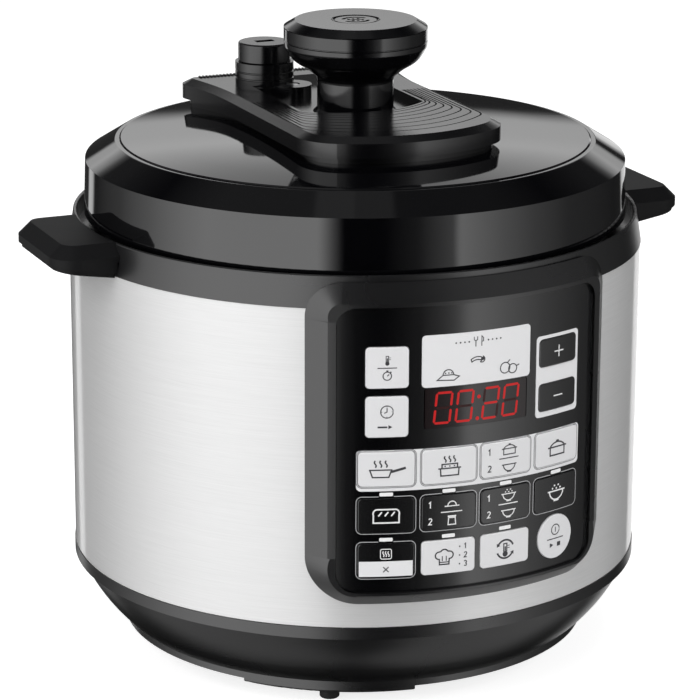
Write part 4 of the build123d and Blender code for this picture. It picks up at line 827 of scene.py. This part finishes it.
def fork_and_knife(line):
    """Fork and knife side by side."""
    shapes = ribbon([(-1.4, -2.2), (-1.4, 0.4)], line)
    shapes += ribbon([(-2.2, 2.2), (-2.2, 0.8), (-1.4, 0.3), (-0.6, 0.8), (-0.6, 2.2)], line * 0.8)
    return shapes + ribbon([(1.4, -2.2), (1.4, 2.2), (2.2, 1.4), (2.2, 0.0), (1.4, -0.2)], line * 0.9)


def double_print(upper, lower, line):
    """Numerals 1 and 2 with a pictogram each, and a line between them."""
    shapes = numeral(1, -9.4, 4.0, 3.0, line) + numeral(2, -9.4, -4.2, 3.0, line)
    shapes += ribbon([(-4.2, 0.0), (6.6, 0.0)], line)
    return shapes + moved(upper, 1.4, 4.1, 1.02) + moved(lower, 1.4, -4.2, 1.02)


def key_prints(line):
    """The print of each key: finish and shapes."""
    thin = line * 0.9
    dotted = []
    for digit, v in ((1, 4.6), (2, 0.2), (3, -4.2)):
        dotted += numeral(digit, 8.6, v, 2.6, thin) + dots([(5.6, v)], 0.4)
    warming = turning_arrows(line) + moved(thermometer(line), 0.0, -0.3)
    return {
        "key_row1_1": ("dark ink", moved(frying_pan(line), -2.0, -1.0, 1.3)),
        "key_row1_2": ("dark ink", moved(steamer(line), 0.0, -0.4, 1.3)),
        "key_row1_3": ("dark ink", double_print(stew_pot(line), bowl(line), line)),
        "key_row1_4": ("dark ink", moved(stew_pot(line), 0.0, -0.6, 1.45)),
        "key_row2_1": ("pale ink", moved(loaf(line), 0.0, -0.2, 1.4)),
        "key_row2_2": ("pale ink", double_print(dough(line), jar(line), line)),
        "key_row2_3": ("pale ink", double_print(grain_bowl(line), bowl(line), line)),
        "key_row2_4": ("pale ink", moved(grain_bowl(line), 0.0, -0.4, 1.4)),
        "key_row3_1": ("pale ink", moved(heat_square(line), 0.0, 3.4, 0.82)),
        "key_row3_2": ("dark ink", moved(chef_hat(line), -2.2, -0.2, 1.25) + dotted),
        "key_row3_3": ("dark ink", moved(warming, 0.0, -0.3, 1.45)),
        "key_start": (
            "dark ink",
            moved(start_mark(line), 0.0, 3.6) + ribbon([(-5.4, -1.0), (5.4, -1.0)], line)
            + moved(small_triangle(), -2.4, -4.2, 1.1) + moved(bar(-1.1, 1.1, -1.1, 1.1), 2.4, -4.2),
        ),
        "key_temperature": (
            "dark ink",
            moved(thermometer(thin), 0.0, 3.6) + ribbon([(-4.6, 0.0), (4.6, 0.0)], thin)
            + moved(stopwatch(thin), 0.0, -3.9),
        ),
        "key_delay": (
            "dark ink",
            moved(clock(thin), 0.0, 2.6) + moved(small_triangle(), 1.6, -4.9, 0.9)
            + ribbon([(-4.4, -4.9), (0.2, -4.9)], line * 1.6),
        ),
        "key_plus": ("pale ink", bar(-2.9, 2.9, -0.3, 0.3) + bar(-0.3, 0.3, -2.9, 2.9)),
        "key_minus": ("pale ink", bar(-2.9, 2.9, -0.3, 0.3)),
    }


# ---------------------------------------------------------------- seven-segment digits


SEGMENTS_OF = {"0": "abcdef", "2": "abged"}


def segment_shapes(names, width, height, thick, slant):
    """The named bars of one digit, leaning to the right."""
    half = thick / 2
    gap = thick * 0.12
    side = width / 2 - half
    end = height / 2 - half
    across = {"a": end, "g": 0.0, "d": -end}
    upright = {
        "f": (-side, half, end), "b": (side, half, end), "e": (-side, -end, -half), "c": (side, -end, -half),
    }
    shapes = []
    for name in names:
        if name in across:
            v = across[name]
            left, right = gap - side, side - gap
            shapes.append([
                (left, v), (left + half, v - half), (right - half, v - half),
                (right, v), (right - half, v + half), (left + half, v + half),
            ])
        else:
            u, low, high = upright[name]
            low, high = low + gap, high - gap
            shapes.append([
                (u, low), (u + half, low + half), (u + half, high - half),
                (u, high), (u - half, high - half), (u - half, low + half),
            ])
    return [[(u + v * slant, v) for u, v in shape] for shape in shapes]


# ---------------------------------------------------------------- finishes and prints

# The pale plate on the lower half of the cancel key, and the cross on it, in millimetres
PLATE_MARGIN = 0.6
PLATE_TOP = -0.3
CROSS_LINE = 0.5
CROSS_LEVEL = -4.4
# The outlines round the keys, in millimetres
OUTLINE_GAP = 0.8
OUTLINE_WIDTH = 0.36
OUTLINE_NOTCH = 7.2
KEY_CORNER = 2.0
# The digits and where each stands, and the two dots of the colon, in millimetres
DIGIT_SIZE = {"width": 8.8, "height": 16.0, "thick": 1.15, "slant": 0.1}
DIGITS = (("0", -17.6), ("0", -6.8), ("2", 6.8), ("0", 17.6))
COLON = ((0.5, 3.8), (-0.2, -6.9))
COLON_RADIUS = 0.95


class COOKER_OT_finishes(bpy.types.Operator):
    """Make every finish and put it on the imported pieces."""

    bl_idname = "cooker.finishes"
    bl_label = "Finishes"

    def execute(self, context):
        make_finishes()
        for finish, names in FINISH_OF.items():
            for name in names:
                paint(name, finish)
        return {"FINISHED"}


class COOKER_OT_key_prints(bpy.types.Operator):
    """Print the pictogram of every key on its face."""

    bl_idname = "cooker.key_prints"
    bl_label = "Key prints"

    def execute(self, context):
        for name, (finish, shapes) in key_prints(context.scene.cooker_panel.line_width / MM).items():
            slot = "key_dark" if finish == "pale ink" else "key_grey"
            print_on("print_" + name, shapes, name, *key_face(name)[:2], finish, name, slot)
        name = "key_row3_1"
        angle, height, width, tall = key_face(name)
        side = width / MM / 2 - PLATE_MARGIN
        plate = bar(-side, side, PLATE_MARGIN - tall / MM / 2, PLATE_TOP)
        print_on("cancel_plate", plate, name, angle, height, "pale inlay", name, "key_grey")
        cross = moved(small_cross(CROSS_LINE), 0.0, CROSS_LEVEL)
        print_on("cancel_cross", cross, name, angle, height, "dark ink", name, "key_grey", layer=1)
        return {"FINISHED"}


def broken_outline(width, tall):
    """Outline round a key of the given size, left open at the middle of its top edge."""
    gap = OUTLINE_GAP
    points = rounded_points(width + 2 * gap, tall + 2 * gap, KEY_CORNER + gap)
    points.append(points[0])
    top = tall / 2 + gap
    points[0] = (-OUTLINE_NOTCH / 2, top)
    points[-1] = (OUTLINE_NOTCH / 2, top)
    return ribbon(points, OUTLINE_WIDTH)


class COOKER_OT_key_outlines(bpy.types.Operator):
    """Print the broken outlines round the keys."""

    bl_idname = "cooker.key_outlines"
    bl_label = "Key outlines"

    def execute(self, context):
        upper = ["key_row1_%d" % i for i in range(1, 5)]
        lower = ["key_row2_%d" % i for i in range(1, 5)] + ["key_row3_1"]
        for finish, surface, names in (
            ("grey ink", "menu_inlays", upper), ("line grey ink", "control_panel", lower),
        ):
            for name in names:
                angle, height, width, tall = key_face(name)
                shapes = broken_outline(width / MM, tall / MM)
                print_on("outline_" + name, shapes, surface, angle, height, finish, "housing", "inlay_white")
        return {"FINISHED"}


class COOKER_OT_plate_prints(bpy.types.Operator):
    """Print the food pictograms on the menu plate."""

    bl_idname = "cooker.plate_prints"
    bl_label = "Menu plate prints"

    def execute(self, context):
        line = context.scene.cooker_panel.line_width / MM * 0.8
        low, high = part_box("display_lens")
        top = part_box("menu_inlays")[1].z
        angle = math.atan2(low.x + high.x, -2 * low.y)
        height = (high.z + top) / 2
        shapes = moved(chilli(line), -0.5, -0.5, 1.2) + moved(greens(line), -16.0, -7.4, 1.2)
        shapes += moved(tomatoes(line), 16.0, -7.0, 1.2) + moved(fork_and_knife(line), 0.0, 8.2, 1.1)
        shapes += dots([(side * (5.0 + 2.2 * i), 8.4) for side in (-1, 1) for i in range(4)], 0.42, 10)
        surface = "menu_inlays"
        print_on("print_menu_plate", shapes, surface, angle, height, "dark ink", "housing", "inlay_white")
        return {"FINISHED"}


class COOKER_OT_digits(bpy.types.Operator):
    """Lit digits on the display window."""

    bl_idname = "cooker.digits"
    bl_label = "Digits"

    def execute(self, context):
        low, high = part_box("display_lens")
        height = (low.z + high.z) / 2
        radius = radius_of("display_lens")
        angle = (math.asin(low.x / radius) + math.asin(high.x / radius)) / 2
        shapes = []
        resting = []
        for digit, u in DIGITS:
            lit = SEGMENTS_OF[digit]
            off = [name for name in "abcdefg" if name not in lit]
            shapes += moved(segment_shapes(lit, **DIGIT_SIZE), u, 0.0)
            resting += moved(segment_shapes(off, **DIGIT_SIZE), u, 0.0)
        shapes += dots(COLON, COLON_RADIUS, 12)
        bars = (("display_digits", shapes, "lit red"), ("resting_bars", resting, "resting bars"))
        for name, lines, finish in bars:
            print_on(name, lines, "display_lens", angle, height, finish, "housing", "display_black")
        return {"FINISHED"}


# ---------------------------------------------------------------- small fittings


def put_out_parts(tree, geometry, source, target):
    """Make instances real, give the geometry its finish and put it out."""
    real = add_node(tree, "GeometryNodeRealizeInstances", (400, 0), {0: geometry})
    parts = {"Geometry": real.outputs[0], "Material": source["Finish"]}
    finish = add_node(tree, "GeometryNodeSetMaterial", (650, 0), parts)
    tree.links.new(finish.outputs[0], target[0])


def small_parts_tree():
    """Geometry nodes that put one block or dome, of the given size, on every point."""
    sizes = ("Length", "Width", "Height")
    inputs = [("Points", GEOMETRY, None)] + [(label, FLOAT, None) for label in sizes]
    inputs += [("Domed", "NodeSocketBool", None), ("Finish", "NodeSocketMaterial", None)]
    tree, source, target = new_group(
        "GeometryNodeTree", "small parts at points", inputs, [("Parts", GEOMETRY)]
    )
    block = add_node(tree, "GeometryNodeMeshCube", (-600, 200))
    ball = {"Segments": 20, "Rings": 8, "Radius": 0.5}
    dome = add_node(tree, "GeometryNodeMeshUVSphere", (-600, -100), ball)
    shape = add_node(
        tree, "GeometryNodeSwitch", (-350, 60),
        {"Switch": source["Domed"], "False": block.outputs["Mesh"], "True": dome.outputs["Mesh"]},
        input_type="GEOMETRY",
    )
    scale = {axis: source[label] for axis, label in zip("XYZ", sizes)}
    size = add_node(tree, "ShaderNodeCombineXYZ", (-350, -200), scale)
    sized = add_node(
        tree, "GeometryNodeTransform", (-100, 60), {"Geometry": shape.outputs[0], "Scale": size.outputs[0]}
    )
    turn = add_node(
        tree, "GeometryNodeInputNamedAttribute", (-100, -260), {"Name": "turn"}, data_type="FLOAT_VECTOR"
    )
    spread = add_node(
        tree, "GeometryNodeInstanceOnPoints", (150, 0),
        {"Points": source["Points"], "Instance": sized.outputs[0], "Rotation": turn.outputs[0]},
    )
    put_out_parts(tree, spread.outputs[0], source, target)
    return tree


def coil_tree():
    """Geometry nodes that wind a round wire into an upright coil."""
    inputs = [(label, FLOAT, None) for label in ("Turns", "Radius", "Height", "Wire", "Bottom")]
    inputs += [("Finish", "NodeSocketMaterial", None)]
    tree, source, target = new_group("GeometryNodeTree", "wound coil", inputs, [("Coil", GEOMETRY)])
    path = add_node(
        tree, "GeometryNodeCurveSpiral", (-600, 100),
        {
            "Resolution": 32, "Rotations": source["Turns"], "Start Radius": source["Radius"],
            "End Radius": source["Radius"], "Height": source["Height"],
        },
    )
    section = add_node(
        tree, "GeometryNodeCurvePrimitiveCircle", (-600, -200), {"Resolution": 12, "Radius": source["Wire"]}
    )
    wire = add_node(
        tree, "GeometryNodeCurveToMesh", (-300, 0),
        {"Fill Caps": True, "Curve": path.outputs[0], "Profile Curve": section.outputs[0]},
    )
    lift = add_node(tree, "ShaderNodeCombineXYZ", (-300, -300), {"Z": source["Bottom"]})
    placed = add_node(
        tree, "GeometryNodeTransform", (0, 0), {"Geometry": wire.outputs[0], "Translation": lift.outputs[0]}
    )
    put_out_parts(tree, placed.outputs[0], source, target)
    return tree


def plain_mesh(piece, tree, values):
    """Run a geometry nodes tree on a piece with the given inputs, and keep the result as its mesh."""
    repeat = piece.modifiers.new("repeat", "NODES")
    repeat.node_group = tree
    for item in tree.interface.items_tree:
        if item.in_out == "INPUT" and item.name in values:
            repeat[item.identifier] = values[item.name]
    graph = bpy.context.evaluated_depsgraph_get()
    made = bpy.data.meshes.new_from_object(piece.evaluated_get(graph))
    piece.modifiers.clear()
    piece.data = made
    shell = bmesh.new()
    shell.from_mesh(made)
    bmesh.ops.recalc_face_normals(shell, faces=shell.faces)
    shell.to_mesh(made)
    shell.free()


def small_parts(name, spots, size, domed, finish, body):
    """One piece of equal small parts, at a list of places with their turns."""
    points = bpy.data.meshes.new(name + "_points")
    points.from_pydata([place for place, turn in spots], [], [])
    turns = points.attributes.new("turn", "FLOAT_VECTOR", "POINT")
    for item, (place, turn) in zip(turns.data, spots):
        item.vector = turn
    piece = bpy.data.objects.new(name, points)
    bpy.context.scene.collection.objects.link(piece)
    tree = bpy.data.node_groups.get("small parts at points") or small_parts_tree()
    sizes = dict(zip(("Length", "Width", "Height"), size))
    plain_mesh(piece, tree, {**sizes, "Domed": domed, "Finish": bpy.data.materials[finish]})
    place_piece(piece, finish, body)


class COOKER_OT_sensor_coil(bpy.types.Operator):
    """The spring under the temperature sensor, wound as a coil of fixed length; the real one shortens as the
    sensor is pressed.
    """

    bl_idname = "cooker.sensor_coil"
    bl_label = "Sensor coil"

    def execute(self, context):
        low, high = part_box("sensor_spring")
        wire, turns, travel = 0.7 * MM, 5.0, 3.0 * MM
        values = {
            "Turns": turns, "Radius": (high.x - low.x) / 2 - wire, "Height": high.z - low.z - 2 * wire,
            "Wire": wire, "Bottom": low.z + wire, "Finish": bpy.data.materials["drawn steel"],
        }
        piece = bpy.data.objects.new("sensor_coil", bpy.data.meshes.new("sensor_coil_start"))
        context.scene.collection.objects.link(piece)
        plain_mesh(piece, coil_tree(), values)
        place_piece(piece, "drawn steel", "housing")
        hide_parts("sensor_spring")
        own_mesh(piece)
        return {"FINISHED"}


class COOKER_OT_bridge_ribs(bpy.types.Operator):
    """Fine ribs along the back edge of the bridge's top."""

    bl_idname = "cooker.bridge_ribs"
    bl_label = "Bridge ribs"

    def execute(self, context):
        count = context.scene.cooker_fittings.rib_count
        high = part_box("lid_bridge")[1]
        bevel = 5.0 * MM
        size = (0.9 * MM, 3.4 * MM, 1.2 * MM)
        reach = high.x - 2 * bevel
        middle = (high.y - bevel - size[1] / 2, high.z)
        spots = [((reach * (2 * i / (count - 1) - 1), *middle), (0.0, 0.0, 0.0)) for i in range(count)]
        small_parts("bridge_ribs", spots, size, False, "bridge black plastic", "lid")
        return {"FINISHED"}


class COOKER_OT_vent_louvres(bpy.types.Operator):
    """Rings of domed vent louvres under the base."""

    bl_idname = "cooker.vent_louvres"
    bl_label = "Vent louvres"

    def execute(self, context):
        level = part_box("bottom_plate")[0].z
        first_ring, ring_step, pitch = 36.0 * MM, 16.0 * MM, 20.0 * MM
        spots = []
        for index in range(context.scene.cooker_fittings.vent_rings):
            radius = first_ring + ring_step * index
            count = int(FULL_TURN * radius / pitch)
            for i in range(count):
                a = FULL_TURN * i / count
                place = (radius * math.cos(a), radius * math.sin(a), level)
                spots.append((place, (0.0, 0.0, a + FULL_TURN / 4)))
        size = (13.0 * MM, 3.4 * MM, 1.8 * MM)
        small_parts("vent_louvres", spots, size, True, "satin black plastic", "housing")
        return {"FINISHED"}


class COOKER_OT_level_marks(bpy.types.Operator):
    """Raised level marks on the inner wall of the pot."""

    bl_idname = "cooker.level_marks"
    bl_label = "Level marks"

    def execute(self, context):
        count = context.scene.cooker_fittings.mark_count
        low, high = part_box("inner_pot")
        above_corner, below_rim, sunk = 15.0 * MM, 1.0 * MM, 0.05 * MM
        wall = min(
            math.hypot(v.co.x, v.co.y) for v in NODES["inner_pot"].data.vertices
            if low.z + above_corner < v.co.z < high.z - below_rim
        )
        first, last = low.z + 45.0 * MM, high.z - 40.0 * MM
        levels = [first + (last - first) * i / (count - 1) for i in range(count)]
        spots = [((0.0, wall - sunk, level), (0.0, 0.0, 0.0)) for level in levels]
        size = (16.0 * MM, 0.9 * MM, 0.9 * MM)
        small_parts("level_marks", spots, size, True, "grey ink", "pot")
        return {"FINISHED"}


class COOKER_OT_screw_recess_shade(bpy.types.Operator):
    """Near-black crosses on the heads of the housing's screws: painted shade that stands in for their cross
    recesses.
    """

    bl_idname = "cooker.screw_recesses"
    bl_label = "Screw recess shade"

    def execute(self, context):
        low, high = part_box("body_screws")
        head, inlet_reach, base_count = 2.4 * MM, 20.0 * MM, 3
        spots = []
        for sign in (-1, 1):
            place = (sign * inlet_reach, high.y, high.z - head)
            spots += [(place, (FULL_TURN / 4, 0.0, 0.0)), (place, (FULL_TURN / 4, FULL_TURN / 4, 0.0))]
        radius = -low.x - head
        for i in range(base_count):
            a = FULL_TURN * (i / base_count + 0.5)
            place = (radius * math.cos(a), radius * math.sin(a), low.z)
            spots += [(place, (0.0, 0.0, 0.0)), (place, (0.0, 0.0, FULL_TURN / 4))]
        size = (2.6 * MM, 0.6 * MM, 0.16 * MM)
        # Thin near-black blocks laid across each head: painted shade of a cross recess, not a recess cut
        # into the head
        small_parts("screw_recesses", spots, size, False, "display black", "housing")
        return {"FINISHED"}


# ---------------------------------------------------------------- knob badge


def turned_mesh(name, outline, segments=96):
    """A body turned about the upright axis from an outline of radius and height, in metres."""
    mesh = bmesh.new()
    corners = [mesh.verts.new((radius, 0.0, height)) for radius, height in outline]
    edges = [mesh.edges.new(pair) for pair in zip(corners, corners[1:])]
    bmesh.ops.spin(
        mesh, geom=corners + edges, cent=(0.0, 0.0, 0.0), axis=(0.0, 0.0, 1.0), angle=FULL_TURN,
        steps=segments, use_merge=True,
    )
    bmesh.ops.remove_doubles(mesh, verts=mesh.verts, dist=1e-6)
    bmesh.ops.recalc_face_normals(mesh, faces=mesh.faces)
    return finish_mesh(name, mesh)


class COOKER_OT_knob_badge(bpy.types.Operator):
    """Round badge in the knob's hollow, with turning arrows and steam on it."""

    bl_idname = "cooker.knob_badge"
    bl_label = "Knob badge"

    def execute(self, context):
        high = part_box("knob_cap")[1]
        rim, clear, sunk, lift, edge = 0.3 * MM, 0.6 * MM, 0.25 * MM, 0.02 * MM, 0.3 * MM
        corners = [(math.hypot(v.co.x, v.co.y), v.co.z) for v in NODES["knob_cap"].data.vertices]
        floor = min(z for radius, z in corners if z > high.z - 3 * MM and radius < 11.6 * MM)
        reach = max(radius for radius, z in corners if z < high.z - rim and radius < 13 * MM) - clear
        top = high.z - sunk
        foot = floor + lift
        badge = turned_mesh(
            "knob_badge", [(0.0, foot), (reach, foot), (reach, top - edge), (reach - edge, top), (0.0, top)]
        )
        place_piece(badge, "knob black plastic", "lid")
        shapes = turning_arrows(1.5, radius=6.4) + waves((-2.6, 0.0, 2.6), 0.0, 6.0, 0.7, 1.2)
        mark = flat_mesh("knob_mark", shapes, Vector((0.0, 0.0, top)), 0.04 * MM)
        place_piece(mark, "mark black", "lid")
        return {"FINISHED"}


# ---------------------------------------------------------------- stage

# The camera's aim: its height, its shift to the left, and the roll
AIM_HEIGHT = 0.150
AIM_SHIFT = 0.0022
CAMERA_ROLL = math.radians(0.22)
SENSOR_WIDTH = 36.0
# Lamps: angle and elevation in degrees, distance, size and power
LAMPS = {
    "left_softbox": (-75.0, 25.0, 2.2, (1.6, 1.8), 27.5),
    "right_softbox": (28.0, 22.0, 2.3, (1.4, 1.6), 22.0),
    "top_softbox": (-30.0, 78.0, 2.0, (1.6, 1.6), 18.0),
}
LAMP_AIM = Vector((0.0, 0.0, 0.16))
# Even light on dull faces; the floor's radius, its grey, and the glow that turns it white for the camera
FILL_LIGHT = 0.35
FLOOR_RADIUS = 3.0
FLOOR_GREY = 0.62
FLOOR_GLOW = 0.78


def aim(thing, target, roll=0.0):
    """Point an object's -Z at a target, with its up direction kept upright before the roll."""
    back = (thing.location - target).normalized()
    right = Vector((0.0, 0.0, 1.0)).cross(back).normalized()
    up = back.cross(right)
    turned_right = right * math.cos(roll) + up * math.sin(roll)
    turned_up = up * math.cos(roll) - right * math.sin(roll)
    matrix = Matrix((turned_right, turned_up, back)).transposed().to_4x4()
    matrix.translation = thing.location
    thing.matrix_world = matrix


def around(angle, elevation, distance, centre):
    """A point seen from a centre at an angle to the right of the front."""
    return centre + distance * Vector(
        (math.sin(angle) * math.cos(elevation), -math.cos(angle) * math.cos(elevation), math.sin(elevation))
    )


class COOKER_OT_camera(bpy.types.Operator):
    """The camera at its usual place."""

    bl_idname = "cooker.camera"
    bl_label = "Camera"

    def execute(self, context):
        stage = context.scene.cooker_stage
        data = bpy.data.cameras.new("camera")
        data.lens = stage.lens
        data.sensor_width = SENSOR_WIDTH
        camera = bpy.data.objects.new("camera", data)
        context.scene.collection.objects.link(camera)
        sideways = Vector((math.cos(stage.view_angle), math.sin(stage.view_angle), 0.0))
        centre = Vector((0.0, 0.0, AIM_HEIGHT)) - sideways * AIM_SHIFT
        camera.location = around(stage.view_angle, stage.view_elevation, stage.view_distance, centre)
        aim(camera, centre, CAMERA_ROLL)
        context.scene.camera = camera
        return {"FINISHED"}


def softbox(name, angle, elevation, distance, size, power):
    """A large rectangular lamp that lights but isn't mirrored."""
    data = bpy.data.lights.new(name, "AREA")
    data.shape = "RECTANGLE"
    data.size, data.size_y = size
    data.energy = power * bpy.context.scene.cooker_stage.lamp_strength
    lamp = bpy.data.objects.new(name, data)
    bpy.context.scene.collection.objects.link(lamp)
    lamp.visible_glossy = False
    lamp.location = around(math.radians(angle), math.radians(elevation), distance, LAMP_AIM)
    aim(lamp, LAMP_AIM)


# Brightness that polished faces mirror, by angle in degrees to the right of the camera's side
SIDE_PANELS = (
    (-140, 0.04), (-116, 0.17), (-96, 0.45), (-84, 0.68), (-74, 0.86), (-64, 1.0), (-15, 1.0), (-9, 0.3),
    (-5, 0.0), (12, 0.0), (26, 0.05), (37, 0.2), (41, 0.27), (44, 0.8), (54, 0.62), (64, 0.44), (80, 0.24),
    (100, 0.1), (140, 0.03),
)
EDGE_LIGHTS = (
    (-156, 0.0), (-153, 1.0), (-147, 1.0), (-144, 0.0), (152, 0.0), (156, 1.0), (172, 1.0), (175, 0.0),
)
BACKDROP = ((-154.5, 1.0), (-152.5, 0.0), (152.5, 0.0), (154.5, 1.0))
# The same by height, from -1 straight down to 1 straight up
SIDE_HEIGHTS = (
    (-1.0, 0.04), (-0.78, 0.05), (-0.64, 0.09), (-0.52, 0.4), (-0.42, 1.0), (0.5, 1.0), (0.7, 0.14),
    (0.85, 0.07), (1.0, 0.06),
)
EDGE_HEIGHTS = ((-0.6, 0.0), (-0.45, 1.0), (0.0, 1.0), (0.08, 0.0))
BACKDROP_HEIGHTS = (
    (0.13, 0.0), (0.17, 0.76), (0.23, 0.87), (0.266, 1.02), (0.3, 0.81), (0.337, 0.57), (0.364, 0.44),
    (0.389, 0.35), (0.44, 0.28), (0.57, 0.12), (0.77, 0.06), (1.0, 0.05),
)
LOW_PANELS = (
    (-140, 0.0), (-120, 1.0), (-50, 0.8), (-20, 0.05), (30, 0.05), (60, 1.0), (130, 1.0), (140, 0.0),
)
LOW_HEIGHTS = ((-1.0, 0.25), (-0.6, 0.32), (-0.5, 0.2), (-0.42, 0.0))
CEILING = ((-160, 1.0), (-40, 1.0), (10, 0.5), (160, 0.5))
CEILING_HEIGHTS = ((0.7, 0.0), (0.85, 0.05), (1.0, 0.05))
STUDIO_LIGHTS = (
    (SIDE_PANELS, SIDE_HEIGHTS), (EDGE_LIGHTS, EDGE_HEIGHTS), (BACKDROP, BACKDROP_HEIGHTS),
    (LOW_PANELS, LOW_HEIGHTS), (CEILING, CEILING_HEIGHTS),
)


def brightness_ramp(tree, value, low, high, stops, place):
    """Brightness from a list of stops, read at a value that runs from low to high."""
    share = add_node(
        tree, "ShaderNodeMapRange", (place[0] - 200, place[1]),
        {"Value": value, "From Min": low, "From Max": high},
    )
    ramp = add_node(tree, "ShaderNodeValToRGB", place, {"Fac": share.outputs["Result"]})
    while len(ramp.color_ramp.elements) < len(stops):
        ramp.color_ramp.elements.new(0.5)
    for element, (at, bright) in zip(ramp.color_ramp.elements, stops):
        element.position = (at - low) / (high - low)
        element.color = (bright, bright, bright, 1.0)
    return ramp.outputs["Color"]


def studio_brightness(tree, view_angle):
    """The sum of the studio lights in the direction that a ray leaves by."""
    way = add_node(tree, "ShaderNodeTexCoord", (-1500, 0))
    turned = add_node(
        tree, "ShaderNodeVectorRotate", (-1300, 0),
        {"Vector": way.outputs["Generated"], "Angle": -view_angle}, rotation_type="Z_AXIS",
    )
    parts = add_node(tree, "ShaderNodeSeparateXYZ", (-1100, 0), {"Vector": turned.outputs["Vector"]})
    front = maths(tree, "MULTIPLY", (-900, -60), parts.outputs["Y"], -1.0)
    bearing = maths(tree, "ARCTAN2", (-700, 0), parts.outputs["X"], front)
    degrees = maths(tree, "DEGREES", (-500, 0), bearing)
    total = 0.0
    for index, (round_stops, height_stops) in enumerate(STUDIO_LIGHTS):
        level = -500 * index
        by_angle = brightness_ramp(tree, degrees, -180.0, 180.0, round_stops, (-100, level))
        by_height = brightness_ramp(tree, parts.outputs["Z"], -1.0, 1.0, height_stops, (-100, level - 250))
        total = maths(tree, "MULTIPLY_ADD", (200, level), by_angle, by_height, total)
    return total


def white_background(tree, strength, place):
    """A white background shader; the strength is a number or a socket."""
    return add_node(tree, "ShaderNodeBackground", place, {"Color": WHITE, "Strength": strength}).outputs[0]


def mix_shaders(tree, share, first, second, place):
    """Two shaders mixed by a share."""
    return add_node(tree, "ShaderNodeMixShader", place, {"Fac": share, 1: first, 2: second}).outputs[0]


def studio_world():
    """Soft light for dull faces, light panels for polished ones, white for the camera and through glass."""
    world = bpy.data.worlds.new("studio")
    bpy.context.scene.world = world
    world.use_nodes = True
    tree = world.node_tree
    tree.nodes.clear()
    ray = add_node(tree, "ShaderNodeLightPath", (400, 400)).outputs
    direct = maths(tree, "MAXIMUM", (600, 400), ray["Is Camera Ray"], ray["Is Transmission Ray"])
    soft = white_background(tree, FILL_LIGHT, (600, -60))
    studio = studio_brightness(tree, bpy.context.scene.cooker_stage.view_angle)
    panels = white_background(tree, studio, (600, -260))
    lights = mix_shaders(tree, ray["Is Glossy Ray"], soft, panels, (800, -100))
    seen = mix_shaders(tree, direct, lights, white_background(tree, 1.0, (800, 160)), (1000, 0))
    add_node(tree, "ShaderNodeOutputWorld", (1200, 0), {"Surface": seen})


def white_floor():
    """A level white floor that keeps the cooker's shadow, and that polished faces look through."""
    mesh = bmesh.new()
    bmesh.ops.create_circle(mesh, cap_ends=True, radius=FLOOR_RADIUS, segments=96)
    floor = finish_mesh("floor", mesh)
    material = bpy.data.materials.new("white floor")
    material.use_nodes = True
    tree = material.node_tree
    ray = add_node(tree, "ShaderNodeLightPath", (-400, 300)).outputs
    glow = maths(tree, "MULTIPLY", (-200, 300), ray["Is Camera Ray"], FLOOR_GLOW)
    shader = tree.nodes["Principled BSDF"]
    feed(tree, shader, {
        "Base Color": (FLOOR_GREY, FLOOR_GREY, FLOOR_GREY, 1.0), "Roughness": 0.8,
        "Specular IOR Level": 0.0, "Emission Color": WHITE, "Emission Strength": glow,
    })
    clear = add_node(tree, "ShaderNodeBsdfTransparent", (0, -700))
    seen = mix_shaders(tree, ray["Is Glossy Ray"], shader.outputs[0], clear.outputs[0], (300, 200))
    feed(tree, tree.nodes["Material Output"], {"Surface": seen})
    floor.data.materials.append(material)


class COOKER_OT_stage(bpy.types.Operator):
    """Floor, lamps and background."""

    bl_idname = "cooker.stage"
    bl_label = "Stage"

    def execute(self, context):
        for name, settings in LAMPS.items():
            softbox(name, *settings)
        studio_world()
        white_floor()
        context.scene.view_settings.view_transform = "Standard"
        return {"FINISHED"}


# ---------------------------------------------------------------- panel and registration


class COOKER_PT_panel(bpy.types.Panel):
    """Lists the steps that dress the cooker."""

    bl_idname = "COOKER_PT_panel"
    bl_label = "Pressure cooker"
    bl_space_type = "VIEW_3D"
    bl_region_type = "UI"
    bl_category = "Cooker"

    def draw(self, context):
        for group in SETTINGS:
            settings = getattr(context.scene, group)
            box = self.layout.box()
            for name in settings.bl_rna.properties.keys():
                if name not in ("rna_type", "name"):
                    box.prop(settings, name)
        for step in STEPS:
            self.layout.operator(step.bl_idname)


SETTINGS = {
    "cooker_body": CookerBodySettings,
    "cooker_panel": CookerPanelSettings,
    "cooker_fittings": CookerFittingSettings,
    "cooker_stage": CookerStageSettings,
}
STEPS = (
    COOKER_OT_camera,
    COOKER_OT_finishes,
    COOKER_OT_key_prints,
    COOKER_OT_key_outlines,
    COOKER_OT_plate_prints,
    COOKER_OT_digits,
    COOKER_OT_bridge_ribs,
    COOKER_OT_vent_louvres,
    COOKER_OT_level_marks,
    COOKER_OT_screw_recess_shade,
    COOKER_OT_sensor_coil,
    COOKER_OT_knob_badge,
    COOKER_OT_stage,
)
CLASSES = (*SETTINGS.values(), *STEPS, COOKER_PT_panel)


def register():
    """Register the classes and attach the settings to the scene."""
    for cls in CLASSES:
        bpy.utils.register_class(cls)
    for name, cls in SETTINGS.items():
        setattr(bpy.types.Scene, name, PointerProperty(type=cls))


def unregister():
    """Undo what register does."""
    for name in SETTINGS:
        delattr(bpy.types.Scene, name)
    for cls in reversed(CLASSES):
        bpy.utils.unregister_class(cls)


def main():
    """Dress the cooker from start to end."""
    register()
    for step in STEPS:
        family, name = step.bl_idname.split(".")
        getattr(getattr(bpy.ops, family), name)()


if __name__ == "__main__":
    main()
